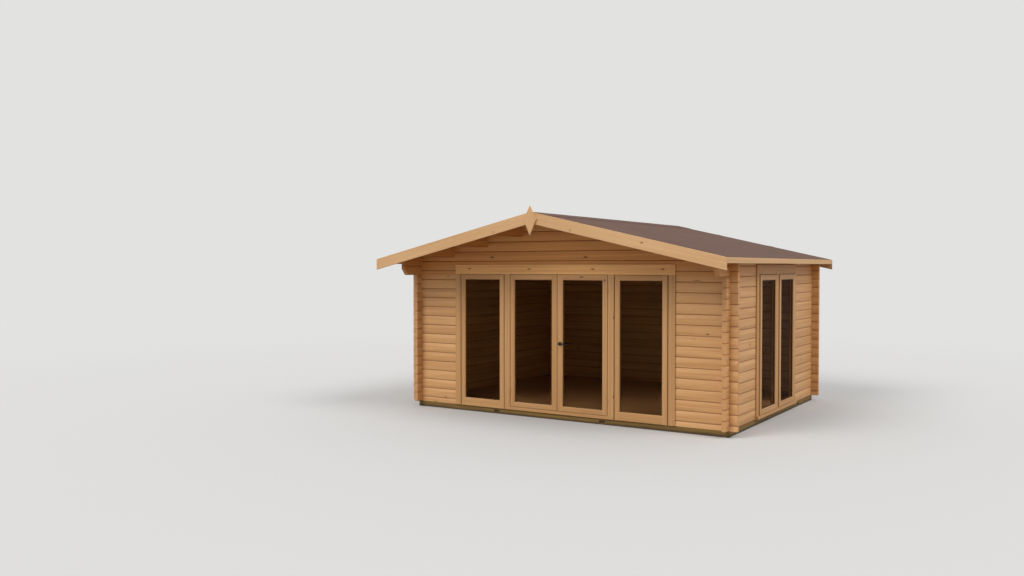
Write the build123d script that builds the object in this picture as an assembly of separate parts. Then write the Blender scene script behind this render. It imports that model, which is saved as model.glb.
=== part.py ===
from build123d import *
import math
import os

# A log cabin with a low gable roof, a front porch overhang, double doors between two
# fixed side lights, and a tall double window in its right wall.
# Sizes are in millimetres. x runs across the front, y from front to back, z up from
# the ground. The origin is under the middle of the roof.

# Logs and walls
LOG_HEIGHT = 134.0  # one course
LOG_THICK = 58.0
LOG_END = 105.0  # log ends past the corner
LOG_GROOVE = 7.0  # depth and half height of the V between two courses
CABIN_WIDTH = 4790.0  # over the outer faces of the side walls
CABIN_DEPTH = 3790.0  # over the outer faces of the front and back walls
SIDE_COURSES = 16  # courses of a side wall
CORBEL_COURSES = 2  # top side courses that run on to carry the eaves
CORBEL_FRONT = 400.0  # corbels past the front wall
CORBEL_CUT = (75.0, 92.0)  # length and height of the cut under a corbel's end
OPENING_COURSES = 14.5  # height of the door and window openings

# Roof
ROOF_PITCH = 12.9  # degrees
FRONT_OVERHANG = 705.0  # front wall to the face of the barge boards
BACK_OVERHANG = 348.0
EAVE_OVERHANG = 210.0  # side wall to the face of the fascia
ROOF_BOARD = 19.0
FELT_THICK = 4.0
FELT_CAP_WIDTH = 250.0  # each side of the ridge
PURLINS_PER_SIDE = 3
PURLIN_THICK = 58.0
PURLIN_HEIGHT = 134.0
BARGE_WIDTH = 146.0
BARGE_THICK = 20.0
FASCIA_HEIGHT = 68.0
FASCIA_THICK = 20.0
FINIAL_WIDTH = 186.0
FINIAL_RISE = 36.0  # finial above the barge boards
FINIAL_SHOULDER = 64.0  # widest place of the finial below the top of the boards
FINIAL_DROP = 288.0  # lower tip of the finial below the top of the boards
FINIAL_THICK = 20.0

# Base
BEARER_HEIGHT = 80.0
BEARER_WIDTH = 70.0
BEARER_SETBACK = 4.0  # bearer behind the wall's outer face
BEARER_SLOT = (85.0, 12.0, 26.0)  # length, depth and height of a drain slot
BEARER_SLOT_DROP = 27.0  # top of a slot below the logs
FRONT_SLOTS = (-996.0, 673.0)  # along the front, from the middle
SIDE_SLOT = 3001.0  # along a side, from the front wall
JOIST_WIDTH = 60.0
JOISTS = 6
FLOOR_THICK = 28.0
FLOOR_GAP = 5.0  # floor boards to the walls

# Doors and windows
BAY_WIDTH = 760.0  # clear width that one sash or door leaf closes
POST_WIDTH = 90.0
JAMB_WIDTH = 40.0
HEAD_HEIGHT = 44.0
SETTLE_GAP = 5.0  # room over a frame for the logs to settle
THRESHOLD_HEIGHT = 42.0
SILL_REACH = 36.0  # window sill past the logs
STOP_REACH = 22.0  # how far a frame reaches behind its sash
ARCHITRAVE_WIDTH = 90.0
ARCHITRAVE_THICK = 18.0
HEADER_HEIGHT = 133.0
SASH_THICK = 44.0
SASH_LIP = 14.0  # side window sashes past their frame
STILE_WIDTH = 74.0
MEETING_STILE = 86.0  # stile at the meeting edge of a leaf
TOP_RAIL = 72.0
BOTTOM_RAIL = 67.0
GLASS_THICK = 6.0
GLASS_EDGE = 10.0  # glass held in the sash
GLASS_BEVEL = 8.0
RUN_GAP = 5.0  # clearance round a door leaf
LIGHT_GAP = 12.0  # groove between a fixed sash and its frame
LEAD_BEVEL = 3.0  # bevel of a leaf's meeting edge
EASE = 2.0  # eased edges of planed boards

# Door furniture
HINGE_HEIGHTS = (250.0, 1690.0)  # middle of each hinge above the log base
HINGE_LENGTH = 80.0
HINGE_RADIUS = 6.0
HINGE_PIN = 3.0  # radius
HINGE_PLAY = 0.25  # round the pin
HINGE_SEAT = 0.3  # between the two knuckles
HINGE_FLAP = (22.0, 2.0)  # width and thickness
HANDLE_HEIGHT = 958.0  # above the log base
HANDLE_INSET = 44.0  # spindle from the leaf's meeting edge
ROSE_RADIUS = 26.0
ROSE_THICK = 8.0
SPINDLE = 8.0  # square bar
SPINDLE_HOLE = 13.0  # square hole, wide enough for the bar to turn
ROSE_PLAY = 0.3  # between a rose and a neck
NECK_RADIUS = 10.0
NECK_LENGTH = 42.0
LEVER_LENGTH = 115.0
LEVER_HEIGHT = 20.0
LEVER_THICK = 11.0

# Sides of the cabin, as signs of x
LEFT = -1
RIGHT = 1

# Places that follow from the sizes
SLOPE = math.tan(math.radians(ROOF_PITCH))
PLUMB = 1.0 / math.cos(math.radians(ROOF_PITCH))  # upright height of a sloping thickness
BASE = BEARER_HEIGHT  # underside of the logs
FRONT_FACE = (FRONT_OVERHANG - BACK_OVERHANG - CABIN_DEPTH) / 2
BACK_FACE = FRONT_FACE + CABIN_DEPTH
SIDE_FACE = CABIN_WIDTH / 2
RIDGE = BASE + SIDE_COURSES * LOG_HEIGHT + (SIDE_FACE - LOG_THICK) * SLOPE
FELT_FOOT = RIDGE + ROOF_BOARD * PLUMB
ROOF_TOP = RIDGE + (ROOF_BOARD + FELT_THICK) * PLUMB
EAVE = SIDE_FACE + EAVE_OVERHANG
ROOF_FRONT = FRONT_FACE - FRONT_OVERHANG
ROOF_BACK = BACK_FACE + BACK_OVERHANG
BOARDS_FRONT = ROOF_FRONT + BARGE_THICK
BOARDS_BACK = ROOF_BACK - BARGE_THICK
BOARDS_EAVE = EAVE - FASCIA_THICK
OPENING_TOP = OPENING_COURSES * LOG_HEIGHT
HEAD_FOOT = OPENING_TOP - SETTLE_GAP - HEAD_HEIGHT
SASH_FOOT = THRESHOLD_HEIGHT + RUN_GAP
SASH_HEAD = HEAD_FOOT - RUN_GAP
SASH_FRONT = -ARCHITRAVE_THICK
SASH_BACK = SASH_FRONT + SASH_THICK
DOOR_STOP = SASH_BACK + RUN_GAP
LIGHT_START = BAY_WIDTH + POST_WIDTH
DOORWAY_HALF = LIGHT_START + BAY_WIDTH
WINDOW_HALF = POST_WIDTH / 2 + BAY_WIDTH
WINDOW_MIDDLE = (FRONT_FACE + BACK_FACE) / 2
HINGE_X = BAY_WIDTH - RUN_GAP / 2
HINGE_Y = SASH_FRONT - HINGE_RADIUS
HANDLE_X = RUN_GAP / 2 + HANDLE_INSET

# An opening's pieces are drawn with x along the wall, y = 0 at the wall's outer face
# and z = 0 at the log base, and are then set in the front or the right wall.
IN_FRONT = Pos(0, FRONT_FACE, BASE)
IN_RIGHT = Pos(SIDE_FACE, WINDOW_MIDDLE, BASE) * Rot(0, 0, 90)


def block(x0, x1, y0, y1, z0, z1):
    """A box between two corners."""
    return Pos((x0 + x1) / 2, (y0 + y1) / 2, (z0 + z1) / 2) * Box(x1 - x0, y1 - y0, z1 - z0)


def prism(points, along):
    """The flat outline through points, carried along a vector."""
    outline = make_face(Polyline(*points, close=True))
    return extrude(outline, amount=Vector(*along).length, dir=Vector(*along))


def eased(piece):
    """A planed board with its edges eased."""
    return chamfer(piece.edges(), EASE)


def joints_from(first, low, high):
    """Heights of the course joints, one log apart, that lie from low to high."""
    count = math.ceil((high - first) / LOG_HEIGHT) + 1
    heights = [first + i * LOG_HEIGHT for i in range(count)]
    return [z for z in heights if low <= z <= high]


def end_joints():
    """Joints of the front and back walls, which start with half a log."""
    return joints_from(BASE + LOG_HEIGHT / 2, BASE, RIDGE)


def side_joints():
    """Joints of the side walls, which start with a whole log."""
    return joints_from(BASE, BASE, BASE + SIDE_COURSES * LOG_HEIGHT)


def wall_face(face, inward, low, high, joints):
    """One face of a stack of logs from low to high, with a V at each joint."""
    deep = face + inward * LOG_GROOVE
    line = []
    for z in joints:
        if low < z < high:
            line += [(face, z - LOG_GROOVE), (deep, z), (face, z + LOG_GROOVE)]
    start = [(deep, low), (face, low + LOG_GROOVE)] if low in joints and low > BASE else [(face, low)]
    end = [(face, high - LOG_GROOVE), (deep, high)] if high in joints else [(face, high)]
    return start + line + end


def wall_section(outer, inner, low, high, joints):
    """Cross-section of a stack of logs: pairs of place across the wall and height."""
    inward = 1 if inner > outer else -1
    rising = wall_face(outer, inward, low, high, joints)
    falling = wall_face(inner, -inward, low, high, joints)
    return rising + falling[::-1]


def wall_across(x0, x1, outer, inner, low, high):
    """Logs that run along x, as in the front and back walls."""
    section = wall_section(outer, inner, low, high, end_joints())
    return prism([(x0, y, z) for y, z in section], (x1 - x0, 0, 0))


def wall_along(y0, y1, outer, inner, low, high):
    """Logs that run along y, as in the side walls."""
    section = wall_section(outer, inner, low, high, side_joints())
    return prism([(x, y0, z) for x, z in section], (0, y1 - y0, 0))


def corner_laps(joints):
    """Room for the crossing logs at the four corners, half a log at each joint.

    A log keeps its middle half where it crosses, so the courses of the two walls,
    half a log apart, lie one on the other with no gap.
    """
    lap = LOG_HEIGHT / 4
    cuts = []
    for side in (LEFT, RIGHT):
        x0, x1 = sorted((side * SIDE_FACE, side * (SIDE_FACE - LOG_THICK)))
        for y0 in (FRONT_FACE, BACK_FACE - LOG_THICK):
            cuts += [block(x0, x1, y0, y0 + LOG_THICK, z - lap, z + lap) for z in joints]
    return cuts


def above_roof():
    """Everything above the underside of the roof boards."""
    reach = EAVE + LOG_END
    foot = RIDGE - reach * SLOPE
    top = RIDGE + LOG_HEIGHT
    outline = [(-reach, foot), (0, RIDGE), (reach, foot), (reach, top), (-reach, top)]
    return prism([(x, ROOF_FRONT, z) for x, z in outline], (0, ROOF_BACK - ROOF_FRONT, 0))


def purlin(x):
    """A purlin at x, with its top planed to the roof."""
    top = RIDGE - abs(x) * SLOPE + PURLIN_THICK / 2 * SLOPE
    low = RIDGE - abs(x) * SLOPE - PURLIN_HEIGHT
    half = PURLIN_THICK / 2
    ease = LOG_GROOVE
    outline = [(x - half + ease, low), (x + half - ease, low), (x + half, low + ease)]
    outline += [(x + half, top), (x - half, top), (x - half, low + ease)]
    raw = prism([(u, BOARDS_FRONT, z) for u, z in outline], (0, BOARDS_BACK - BOARDS_FRONT, 0))
    return raw - above_roof()


def purlins(side):
    """The purlins of one slope, spread evenly from the ridge to the side wall."""
    bay = (SIDE_FACE - LOG_THICK / 2) / (PURLINS_PER_SIDE + 1)
    return [purlin(side * bay * i) for i in range(1, PURLINS_PER_SIDE + 1)]


def seats():
    """The purlins as one list, to cut their seats in the gables."""
    return [purlin(0)] + purlins(LEFT) + purlins(RIGHT)


def front_wall(side):
    """The front wall beside the doors, from its opening to its log ends."""
    x0, x1 = sorted((side * (DOORWAY_HALF + JAMB_WIDTH), side * (SIDE_FACE + LOG_END)))
    logs = wall_across(x0, x1, FRONT_FACE, FRONT_FACE + LOG_THICK, BASE, BASE + OPENING_TOP)
    return logs - corner_laps(end_joints())


def front_gable():
    """The front courses over the doors, up to the roof."""
    reach = SIDE_FACE + LOG_END
    logs = wall_across(-reach, reach, FRONT_FACE, FRONT_FACE + LOG_THICK, BASE + OPENING_TOP, RIDGE)
    return logs - corner_laps(end_joints()) - above_roof() - seats()


def back_wall():
    """The whole back wall with its gable."""
    reach = SIDE_FACE + LOG_END
    logs = wall_across(-reach, reach, BACK_FACE, BACK_FACE - LOG_THICK, BASE, RIDGE)
    return logs - corner_laps(end_joints()) - above_roof() - seats()


def corbel_foot():
    """Height at which the corbel courses start."""
    return BASE + (SIDE_COURSES - CORBEL_COURSES) * LOG_HEIGHT


def side_wall(side, y0, y1):
    """A length of side wall below the corbel courses."""
    logs = wall_along(y0, y1, side * SIDE_FACE, side * (SIDE_FACE - LOG_THICK), BASE, corbel_foot())
    return logs - corner_laps(side_joints())


def corbel_courses(side):
    """The top side courses, which run on under the front overhang to a cut end."""
    y0 = FRONT_FACE - CORBEL_FRONT
    low = corbel_foot()
    top = BASE + SIDE_COURSES * LOG_HEIGHT
    outer = side * SIDE_FACE
    logs = wall_along(y0, BACK_FACE + LOG_END, outer, side * (SIDE_FACE - LOG_THICK), low, top)
    length, height = CORBEL_CUT
    slant = [(y0, low), (y0 + length, low), (y0, low + height)]
    end = prism([(outer, y, z) for y, z in slant], (-side * LOG_THICK, 0, 0))
    return logs - end - corner_laps(side_joints()) - above_roof()


def window_notch():
    """Room for the window's frame in the right wall."""
    half = WINDOW_HALF + JAMB_WIDTH
    return IN_RIGHT * block(-half, half, -LOG_THICK, 2 * LOG_THICK, 0, OPENING_TOP)


def slope_slab(side, low, high, y0, y1, reach):
    """A slab on one slope between two heights over the roof's underside."""
    edge = RIDGE - reach * SLOPE
    outline = [(0, RIDGE + low * PLUMB), (side * reach, edge + low * PLUMB)]
    outline += [(side * reach, edge + high * PLUMB), (0, RIDGE + high * PLUMB)]
    return prism([(x, y0, z) for x, z in outline], (0, y1 - y0, 0))


def roof_boards(side):
    """The boarding of one slope."""
    return slope_slab(side, 0, ROOF_BOARD, BOARDS_FRONT, BOARDS_BACK, BOARDS_EAVE)


def felt(side):
    """The felt on one slope, which covers the top of the back barge board."""
    top = ROOF_BOARD + FELT_THICK
    return slope_slab(side, ROOF_BOARD, top, BOARDS_FRONT, ROOF_BACK, BOARDS_EAVE)


def felt_cap():
    """The strip of felt folded over the ridge."""
    low = ROOF_BOARD + FELT_THICK
    high = low + FELT_THICK
    left = slope_slab(LEFT, low, high, BOARDS_FRONT, ROOF_BACK, FELT_CAP_WIDTH)
    right = slope_slab(RIGHT, low, high, BOARDS_FRONT, ROOF_BACK, FELT_CAP_WIDTH)
    return left + right


def barge_board(side, y0, top):
    """A barge board, cut plumb at the ridge, where it rises to top, and at the eave."""
    drop = BARGE_WIDTH * PLUMB
    edge = top - EAVE * SLOPE
    outline = [(0, top), (side * EAVE, edge), (side * EAVE, edge - drop), (0, top - drop)]
    return eased(prism([(x, y0, z) for x, z in outline], (0, BARGE_THICK, 0)))


def barge_boards(side):
    """The front barge board of one slope, and the back one, which lies under the felt."""
    return [barge_board(side, ROOF_FRONT, ROOF_TOP), barge_board(side, BOARDS_BACK, FELT_FOOT)]


def fascia(side):
    """The board along an eave, over the ends of the roof boards."""
    top = ROOF_TOP - EAVE * SLOPE
    x0, x1 = sorted((side * BOARDS_EAVE, side * EAVE))
    return eased(block(x0, x1, BOARDS_FRONT, BOARDS_BACK, top - FASCIA_HEIGHT, top))


def finial(y0):
    """The kite-shaped board over the joint of two barge boards."""
    half = FINIAL_WIDTH / 2
    shoulder = ROOF_TOP - FINIAL_SHOULDER
    outline = [(0, ROOF_TOP + FINIAL_RISE), (half, shoulder), (0, ROOF_TOP - FINIAL_DROP), (-half, shoulder)]
    return eased(prism([(x, y0, z) for x, z in outline], (0, FINIAL_THICK, 0)))


def slot_at(x, y, turned):
    """A drain slot in the face of a bearer, centred on that face at x, y."""
    length, depth, height = BEARER_SLOT
    top = BASE - BEARER_SLOT_DROP
    half_x, half_y = (depth, length / 2) if turned else (length / 2, depth)
    return block(x - half_x, x + half_x, y - half_y, y + half_y, top - height, top)


def bearer_across(outer, inner):
    """A bearer under the front or the back wall."""
    half = SIDE_FACE - BEARER_SETBACK
    low, high = sorted((outer, inner))
    return block(-half, half, low, high, 0, BASE) - [slot_at(x, outer, False) for x in FRONT_SLOTS]


def bearer_along(side):
    """A bearer under a side wall, between the two long ones."""
    outer = side * (SIDE_FACE - BEARER_SETBACK)
    x0, x1 = sorted((outer, outer - side * BEARER_WIDTH))
    inset = BEARER_SETBACK + BEARER_WIDTH
    raw = block(x0, x1, FRONT_FACE + inset, BACK_FACE - inset, 0, BASE)
    return raw - slot_at(outer, FRONT_FACE + SIDE_SLOT, True)


def joists():
    """Floor joists between the front and back bearers."""
    inset = BEARER_SETBACK + BEARER_WIDTH
    clear = SIDE_FACE - inset
    step = 2 * clear / (JOISTS + 1)
    half = JOIST_WIDTH / 2
    places = [-clear + step * i for i in range(1, JOISTS + 1)]
    return [block(x - half, x + half, FRONT_FACE + inset, BACK_FACE - inset, 0, BASE) for x in places]


def floor_boards():
    """The floor inside the walls, on the joists."""
    inset = LOG_THICK + FLOOR_GAP
    half = SIDE_FACE - inset
    return block(-half, half, FRONT_FACE + inset, BACK_FACE - inset, BASE, BASE + FLOOR_THICK)


def frame_post(x0, x1, left_stop, right_stop):
    """An upright of a frame: its face, and behind it the stops of the bays beside it.

    left_stop and right_stop are the depths at which the stops start, or None where
    the upright meets the logs.
    """
    front = 0 if None in (left_stop, right_stop) else SASH_FRONT
    piece = block(x0, x1, front, LOG_THICK, THRESHOLD_HEIGHT, HEAD_FOOT)
    if left_stop is not None:
        piece += block(x0 - STOP_REACH, x0, left_stop, LOG_THICK, THRESHOLD_HEIGHT, HEAD_FOOT)
    if right_stop is not None:
        piece += block(x1, x1 + STOP_REACH, right_stop, LOG_THICK, THRESHOLD_HEIGHT, HEAD_FOOT)
    return piece


def jambs(half):
    """The two outer uprights of a frame whose clear half width is half."""
    left = frame_post(-half - JAMB_WIDTH, -half, None, SASH_BACK)
    right = frame_post(half, half + JAMB_WIDTH, SASH_BACK, None)
    return [left, right]


def door_posts():
    """The two posts between the doors and the side lights."""
    left = frame_post(-LIGHT_START, -BAY_WIDTH, SASH_BACK, DOOR_STOP)
    right = frame_post(BAY_WIDTH, LIGHT_START, DOOR_STOP, SASH_BACK)
    return [left, right]


def stop_rail(x0, x1, start, z0, z1):
    """The stop of one bay along the head or the foot of a frame."""
    return block(x0 + STOP_REACH, x1 - STOP_REACH, start, LOG_THICK, z0, z1)


def frame_head(half, bays):
    """The head of a frame with a stop for each bay: (x0, x1, start of the stop)."""
    reach = half + JAMB_WIDTH
    piece = block(-reach, reach, 0, LOG_THICK, HEAD_FOOT, HEAD_FOOT + HEAD_HEIGHT)
    for x0, x1, start in bays:
        piece += stop_rail(x0, x1, start, HEAD_FOOT - STOP_REACH, HEAD_FOOT)
    return piece


def frame_foot(half, face_half, bays):
    """The foot of a frame, which comes forward to the face within face_half."""
    reach = half + JAMB_WIDTH
    piece = block(-reach, reach, SASH_BACK, LOG_THICK, 0, THRESHOLD_HEIGHT)
    piece += block(-face_half, face_half, SASH_FRONT, SASH_BACK, 0, THRESHOLD_HEIGHT)
    for side in (LEFT, RIGHT):
        x0, x1 = sorted((side * half, side * reach))
        piece += block(x0, x1, 0, SASH_BACK, 0, THRESHOLD_HEIGHT)
    for x0, x1, start in bays:
        piece += stop_rail(x0, x1, start, THRESHOLD_HEIGHT, THRESHOLD_HEIGHT + STOP_REACH)
    return piece


def front_bays():
    """The bays of the front frame: side light, both leaves, side light."""
    light = (LIGHT_START, DOORWAY_HALF, SASH_BACK)
    return [(-DOORWAY_HALF, -LIGHT_START, SASH_BACK), (-BAY_WIDTH, BAY_WIDTH, DOOR_STOP), light]


def window_bays():
    """The two bays of the side window."""
    inner = POST_WIDTH / 2
    return [(-WINDOW_HALF, -inner, SASH_BACK), (inner, WINDOW_HALF, SASH_BACK)]


def architraves(half):
    """The two upright cover boards of an opening."""
    pieces = []
    for side in (LEFT, RIGHT):
        x0, x1 = sorted((side * half, side * (half + ARCHITRAVE_WIDTH)))
        pieces.append(eased(block(x0, x1, SASH_FRONT, 0, 0, HEAD_FOOT)))
    return pieces


def header_board(half):
    """The deep cover board over an opening."""
    reach = half + ARCHITRAVE_WIDTH
    return eased(block(-reach, reach, SASH_FRONT, 0, HEAD_FOOT, HEAD_FOOT + HEADER_HEIGHT))


def pane(left, right):
    """The glass of an opening between two stiles."""
    front = (SASH_FRONT + SASH_BACK - GLASS_THICK) / 2
    low = SASH_FOOT + BOTTOM_RAIL - GLASS_EDGE
    high = SASH_HEAD - TOP_RAIL + GLASS_EDGE
    return block(left - GLASS_EDGE, right + GLASS_EDGE, front, front + GLASS_THICK, low, high)


def sight_bevel(x0, x1, z0, z1, face, inward):
    """The bevel round a pane, cut into one face of the sash."""
    plane = Plane(origin=((x0 + x1) / 2, face, (z0 + z1) / 2), x_dir=(1, 0, 0), z_dir=(0, inward, 0))
    outline = plane * Rectangle(x1 - x0 + 2 * GLASS_BEVEL, z1 - z0 + 2 * GLASS_BEVEL)
    return extrude(outline, amount=GLASS_BEVEL, taper=45)


def sash(edges, sight, face=SASH_FRONT, foot=SASH_FOOT):
    """Stiles and rails between two edges, bevelled towards the glass on both faces.

    sight is the pair of sides of the glass opening.
    """
    low = SASH_FOOT + BOTTOM_RAIL
    high = SASH_HEAD - TOP_RAIL
    solid = block(*edges, face, SASH_BACK, foot, SASH_HEAD)
    solid -= block(*sight, face, SASH_BACK, low, high)
    solid -= pane(*sight)
    solid -= sight_bevel(*sight, low, high, face, 1)
    solid -= sight_bevel(*sight, low, high, SASH_BACK, -1)
    return solid


def light_edges(bay):
    """The edges of the fixed sash of a bay, with a groove to the frame at each side."""
    x0, x1, _ = bay
    return x0 + LIGHT_GAP, x1 - LIGHT_GAP


def light_sight(bay):
    """The sides of the glass opening of a fixed sash."""
    x0, x1 = light_edges(bay)
    return x0 + STILE_WIDTH, x1 - STILE_WIDTH


def leaf_edges(side):
    """The hinge edge and the meeting edge of a door leaf."""
    return side * (BAY_WIDTH - RUN_GAP), side * RUN_GAP / 2


def leaf_sight(side):
    """The sides of the glass opening of a door leaf."""
    hinge_edge, lead_edge = leaf_edges(side)
    return sorted((hinge_edge - side * STILE_WIDTH, lead_edge + side * MEETING_STILE))


def door_leaf(side):
    """A glazed door leaf, its meeting edge bevelled so that it swings clear."""
    hinge_edge, lead_edge = leaf_edges(side)
    bevel = [(lead_edge, SASH_FRONT), (lead_edge, SASH_BACK), (lead_edge + side * LEAD_BEVEL, SASH_BACK)]
    wedge = prism([(x, y, SASH_FOOT) for x, y in bevel], (0, 0, SASH_HEAD - SASH_FOOT))
    leaf = sash(sorted((hinge_edge, lead_edge)), leaf_sight(side)) - wedge
    if side == RIGHT:
        leaf -= square_bar(SPINDLE_HOLE, SASH_FRONT, SASH_BACK)
    return leaf


def door_glass(side):
    """The pane of a door leaf."""
    return pane(*leaf_sight(side))


def upright(x, y, radius, z0, z1):
    """A round upright bar."""
    return Pos(x, y, (z0 + z1) / 2) * Cylinder(radius, z1 - z0)


def flap(side, outward, z0, z1):
    """A hinge flap on the post (outward 1) or on the leaf (outward -1)."""
    width, thick = HINGE_FLAP
    x0, x1 = sorted((side * HINGE_X, side * (HINGE_X + outward * width)))
    return block(x0, x1, SASH_FRONT - thick, SASH_FRONT, z0, z1)


def leaf_hinge(side, z):
    """The upper knuckle and its flap, which turn with the leaf."""
    low = z + HINGE_SEAT / 2
    high = z + HINGE_LENGTH / 2
    x = side * HINGE_X
    solid = upright(x, HINGE_Y, HINGE_RADIUS, low, high) + flap(side, -1, low, high)
    return solid - upright(x, HINGE_Y, HINGE_PIN + HINGE_PLAY, low, high)


def post_hinge(side, z):
    """The lower knuckle with its pin and flap, on the post."""
    low = z - HINGE_LENGTH / 2
    high = z - HINGE_SEAT / 2
    x = side * HINGE_X
    solid = upright(x, HINGE_Y, HINGE_RADIUS, low, high) + flap(side, 1, low, high)
    return solid + upright(x, HINGE_Y, HINGE_PIN, low, z + HINGE_LENGTH / 2)


def leaf_hinges(side):
    """The leaf halves of one door's hinges."""
    return [leaf_hinge(side, z) for z in HINGE_HEIGHTS]


def post_hinges():
    """The post halves of all hinges."""
    return [post_hinge(side, z) for side in (LEFT, RIGHT) for z in HINGE_HEIGHTS]


def handle_bar(radius, y0, y1):
    """A round bar on the handle's axis."""
    return Pos(HANDLE_X, (y0 + y1) / 2, HANDLE_HEIGHT) * Rot(90, 0, 0) * Cylinder(radius, y1 - y0)


def square_bar(size, y0, y1):
    """A square bar on the handle's axis."""
    x0 = HANDLE_X - size / 2
    z0 = HANDLE_HEIGHT - size / 2
    return block(x0, x0 + size, y0, y1, z0, z0 + size)


def roses():
    """The round plates under the levers, outside and inside."""
    hole = square_bar(SPINDLE_HOLE, SASH_FRONT - ROSE_THICK, SASH_BACK + ROSE_THICK)
    outside = handle_bar(ROSE_RADIUS, SASH_FRONT - ROSE_THICK, SASH_FRONT)
    inside = handle_bar(ROSE_RADIUS, SASH_BACK, SASH_BACK + ROSE_THICK)
    return [outside - hole, inside - hole]


def lever(face, outward):
    """A round neck and the flat lever that turns off it towards the hinges."""
    start = face + outward * (ROSE_THICK + ROSE_PLAY)
    end = start + outward * NECK_LENGTH
    neck = handle_bar(NECK_RADIUS, *sorted((start, end)))
    y0, y1 = sorted((end, end - outward * LEVER_THICK))
    half = LEVER_HEIGHT / 2
    x0 = HANDLE_X - NECK_RADIUS
    x1 = HANDLE_X + LEVER_LENGTH
    return neck + eased(block(x0, x1, y0, y1, HANDLE_HEIGHT - half, HANDLE_HEIGHT + half))


def door_handle():
    """Both levers on their square spindle."""
    clear = ROSE_THICK + ROSE_PLAY
    spindle = square_bar(SPINDLE, SASH_FRONT - clear, SASH_BACK + clear)
    return spindle + lever(SASH_FRONT, -1) + lever(SASH_BACK, 1)


def window_frame():
    """The whole frame of the side window: jambs, mullion, head and sill."""
    left, right = jambs(WINDOW_HALF)
    inner = POST_WIDTH / 2
    frame = frame_head(WINDOW_HALF, window_bays()) + left + right
    frame += frame_post(-inner, inner, SASH_BACK, SASH_BACK)
    frame += frame_foot(WINDOW_HALF, WINDOW_HALF, window_bays())
    reach = WINDOW_HALF + ARCHITRAVE_WIDTH
    sill = block(-reach, reach, -SILL_REACH, SASH_FRONT, 0, THRESHOLD_HEIGHT)
    return frame + sill


def write(name, pieces, place=Pos(0, 0, 0)):
    """Write one named piece, or several like pieces that do not touch."""
    pieces = pieces if isinstance(pieces, list) else [pieces]
    solids = [solid for piece in pieces for solid in (place * piece).solids()]
    export_step(Compound(children=solids), f"parts/{name}.step")


def write_base():
    """Bearers, joists and floor."""
    front = FRONT_FACE + BEARER_SETBACK
    back = BACK_FACE - BEARER_SETBACK
    across = [bearer_across(front, front + BEARER_WIDTH), bearer_across(back, back - BEARER_WIDTH)]
    write("bearers_front_back", across)
    write("bearers_sides", [bearer_along(LEFT), bearer_along(RIGHT)])
    write("floor_joists", joists())
    write("floor_boards", floor_boards())


def write_walls():
    """The log walls, split beside and over the openings."""
    low = FRONT_FACE - LOG_END
    high = BACK_FACE + LOG_END
    write("front_wall_left", front_wall(LEFT))
    write("front_wall_right", front_wall(RIGHT))
    write("front_gable", front_gable())
    write("back_wall", back_wall())
    write("left_wall", side_wall(LEFT, low, high))
    write("left_corbel_logs", corbel_courses(LEFT))
    half = WINDOW_HALF + JAMB_WIDTH
    write("right_wall_front", side_wall(RIGHT, low, WINDOW_MIDDLE - half))
    write("right_wall_back", side_wall(RIGHT, WINDOW_MIDDLE + half, high))
    write("right_corbel_logs", corbel_courses(RIGHT) - window_notch())


def write_roof():
    """Purlins, boards, felt and trim."""
    write("ridge_purlin", purlin(0))
    write("purlins_left", purlins(LEFT))
    write("purlins_right", purlins(RIGHT))
    write("roof_boards_left", roof_boards(LEFT))
    write("roof_boards_right", roof_boards(RIGHT))
    write("felt_left", felt(LEFT))
    write("felt_right", felt(RIGHT))
    write("felt_ridge_cap", felt_cap())
    write("barge_boards_left", barge_boards(LEFT))
    write("barge_boards_right", barge_boards(RIGHT))
    write("fascia_boards", [fascia(LEFT), fascia(RIGHT)])
    write("finials", [finial(ROOF_FRONT - FINIAL_THICK), finial(ROOF_BACK)])


def write_front():
    """The doors with their frame, side lights and furniture."""
    left_light, _, right_light = front_bays()
    lights = [left_light, right_light]
    write("door_frame_jambs", jambs(DOORWAY_HALF), IN_FRONT)
    write("door_frame_posts", door_posts(), IN_FRONT)
    write("door_frame_head", frame_head(DOORWAY_HALF, front_bays()), IN_FRONT)
    write("door_threshold", frame_foot(DOORWAY_HALF, LIGHT_START, front_bays()), IN_FRONT)
    write("front_architraves", architraves(DOORWAY_HALF), IN_FRONT)
    write("front_header_board", header_board(DOORWAY_HALF), IN_FRONT)
    sashes = [sash(light_edges(bay), light_sight(bay), foot=0) for bay in lights]
    write("side_lights", sashes, IN_FRONT)
    write("side_light_glass", [pane(*light_sight(bay)) for bay in lights], IN_FRONT)
    for name, side in (("left", LEFT), ("right", RIGHT)):
        write(f"door_leaf_{name}", door_leaf(side), IN_FRONT)
        write(f"door_glass_{name}", door_glass(side), IN_FRONT)
        write(f"door_hinges_{name}", leaf_hinges(side), IN_FRONT)
    write("post_hinges", post_hinges(), IN_FRONT)
    write("handle_roses", roses(), IN_FRONT)
    write("door_handle", door_handle(), IN_FRONT)


def write_window():
    """The tall double window of the right wall."""
    face = SASH_FRONT - SASH_LIP
    sashes = [sash(light_edges(bay), light_sight(bay), face) for bay in window_bays()]
    write("side_window_frame", window_frame(), IN_RIGHT)
    write("side_window_architraves", architraves(WINDOW_HALF), IN_RIGHT)
    write("side_window_header", header_board(WINDOW_HALF), IN_RIGHT)
    write("side_window_sashes", sashes, IN_RIGHT)
    write("side_window_glass", [pane(*light_sight(bay)) for bay in window_bays()], IN_RIGHT)


os.makedirs("parts", exist_ok=True)
write_base()
write_walls()
write_roof()
write_front()
write_window()
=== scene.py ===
"""Looks of the log cabin: each log, board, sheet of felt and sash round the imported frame."""

import logging
import math
from collections.abc import Callable
from dataclasses import dataclass, field, replace
from enum import Enum

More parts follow.
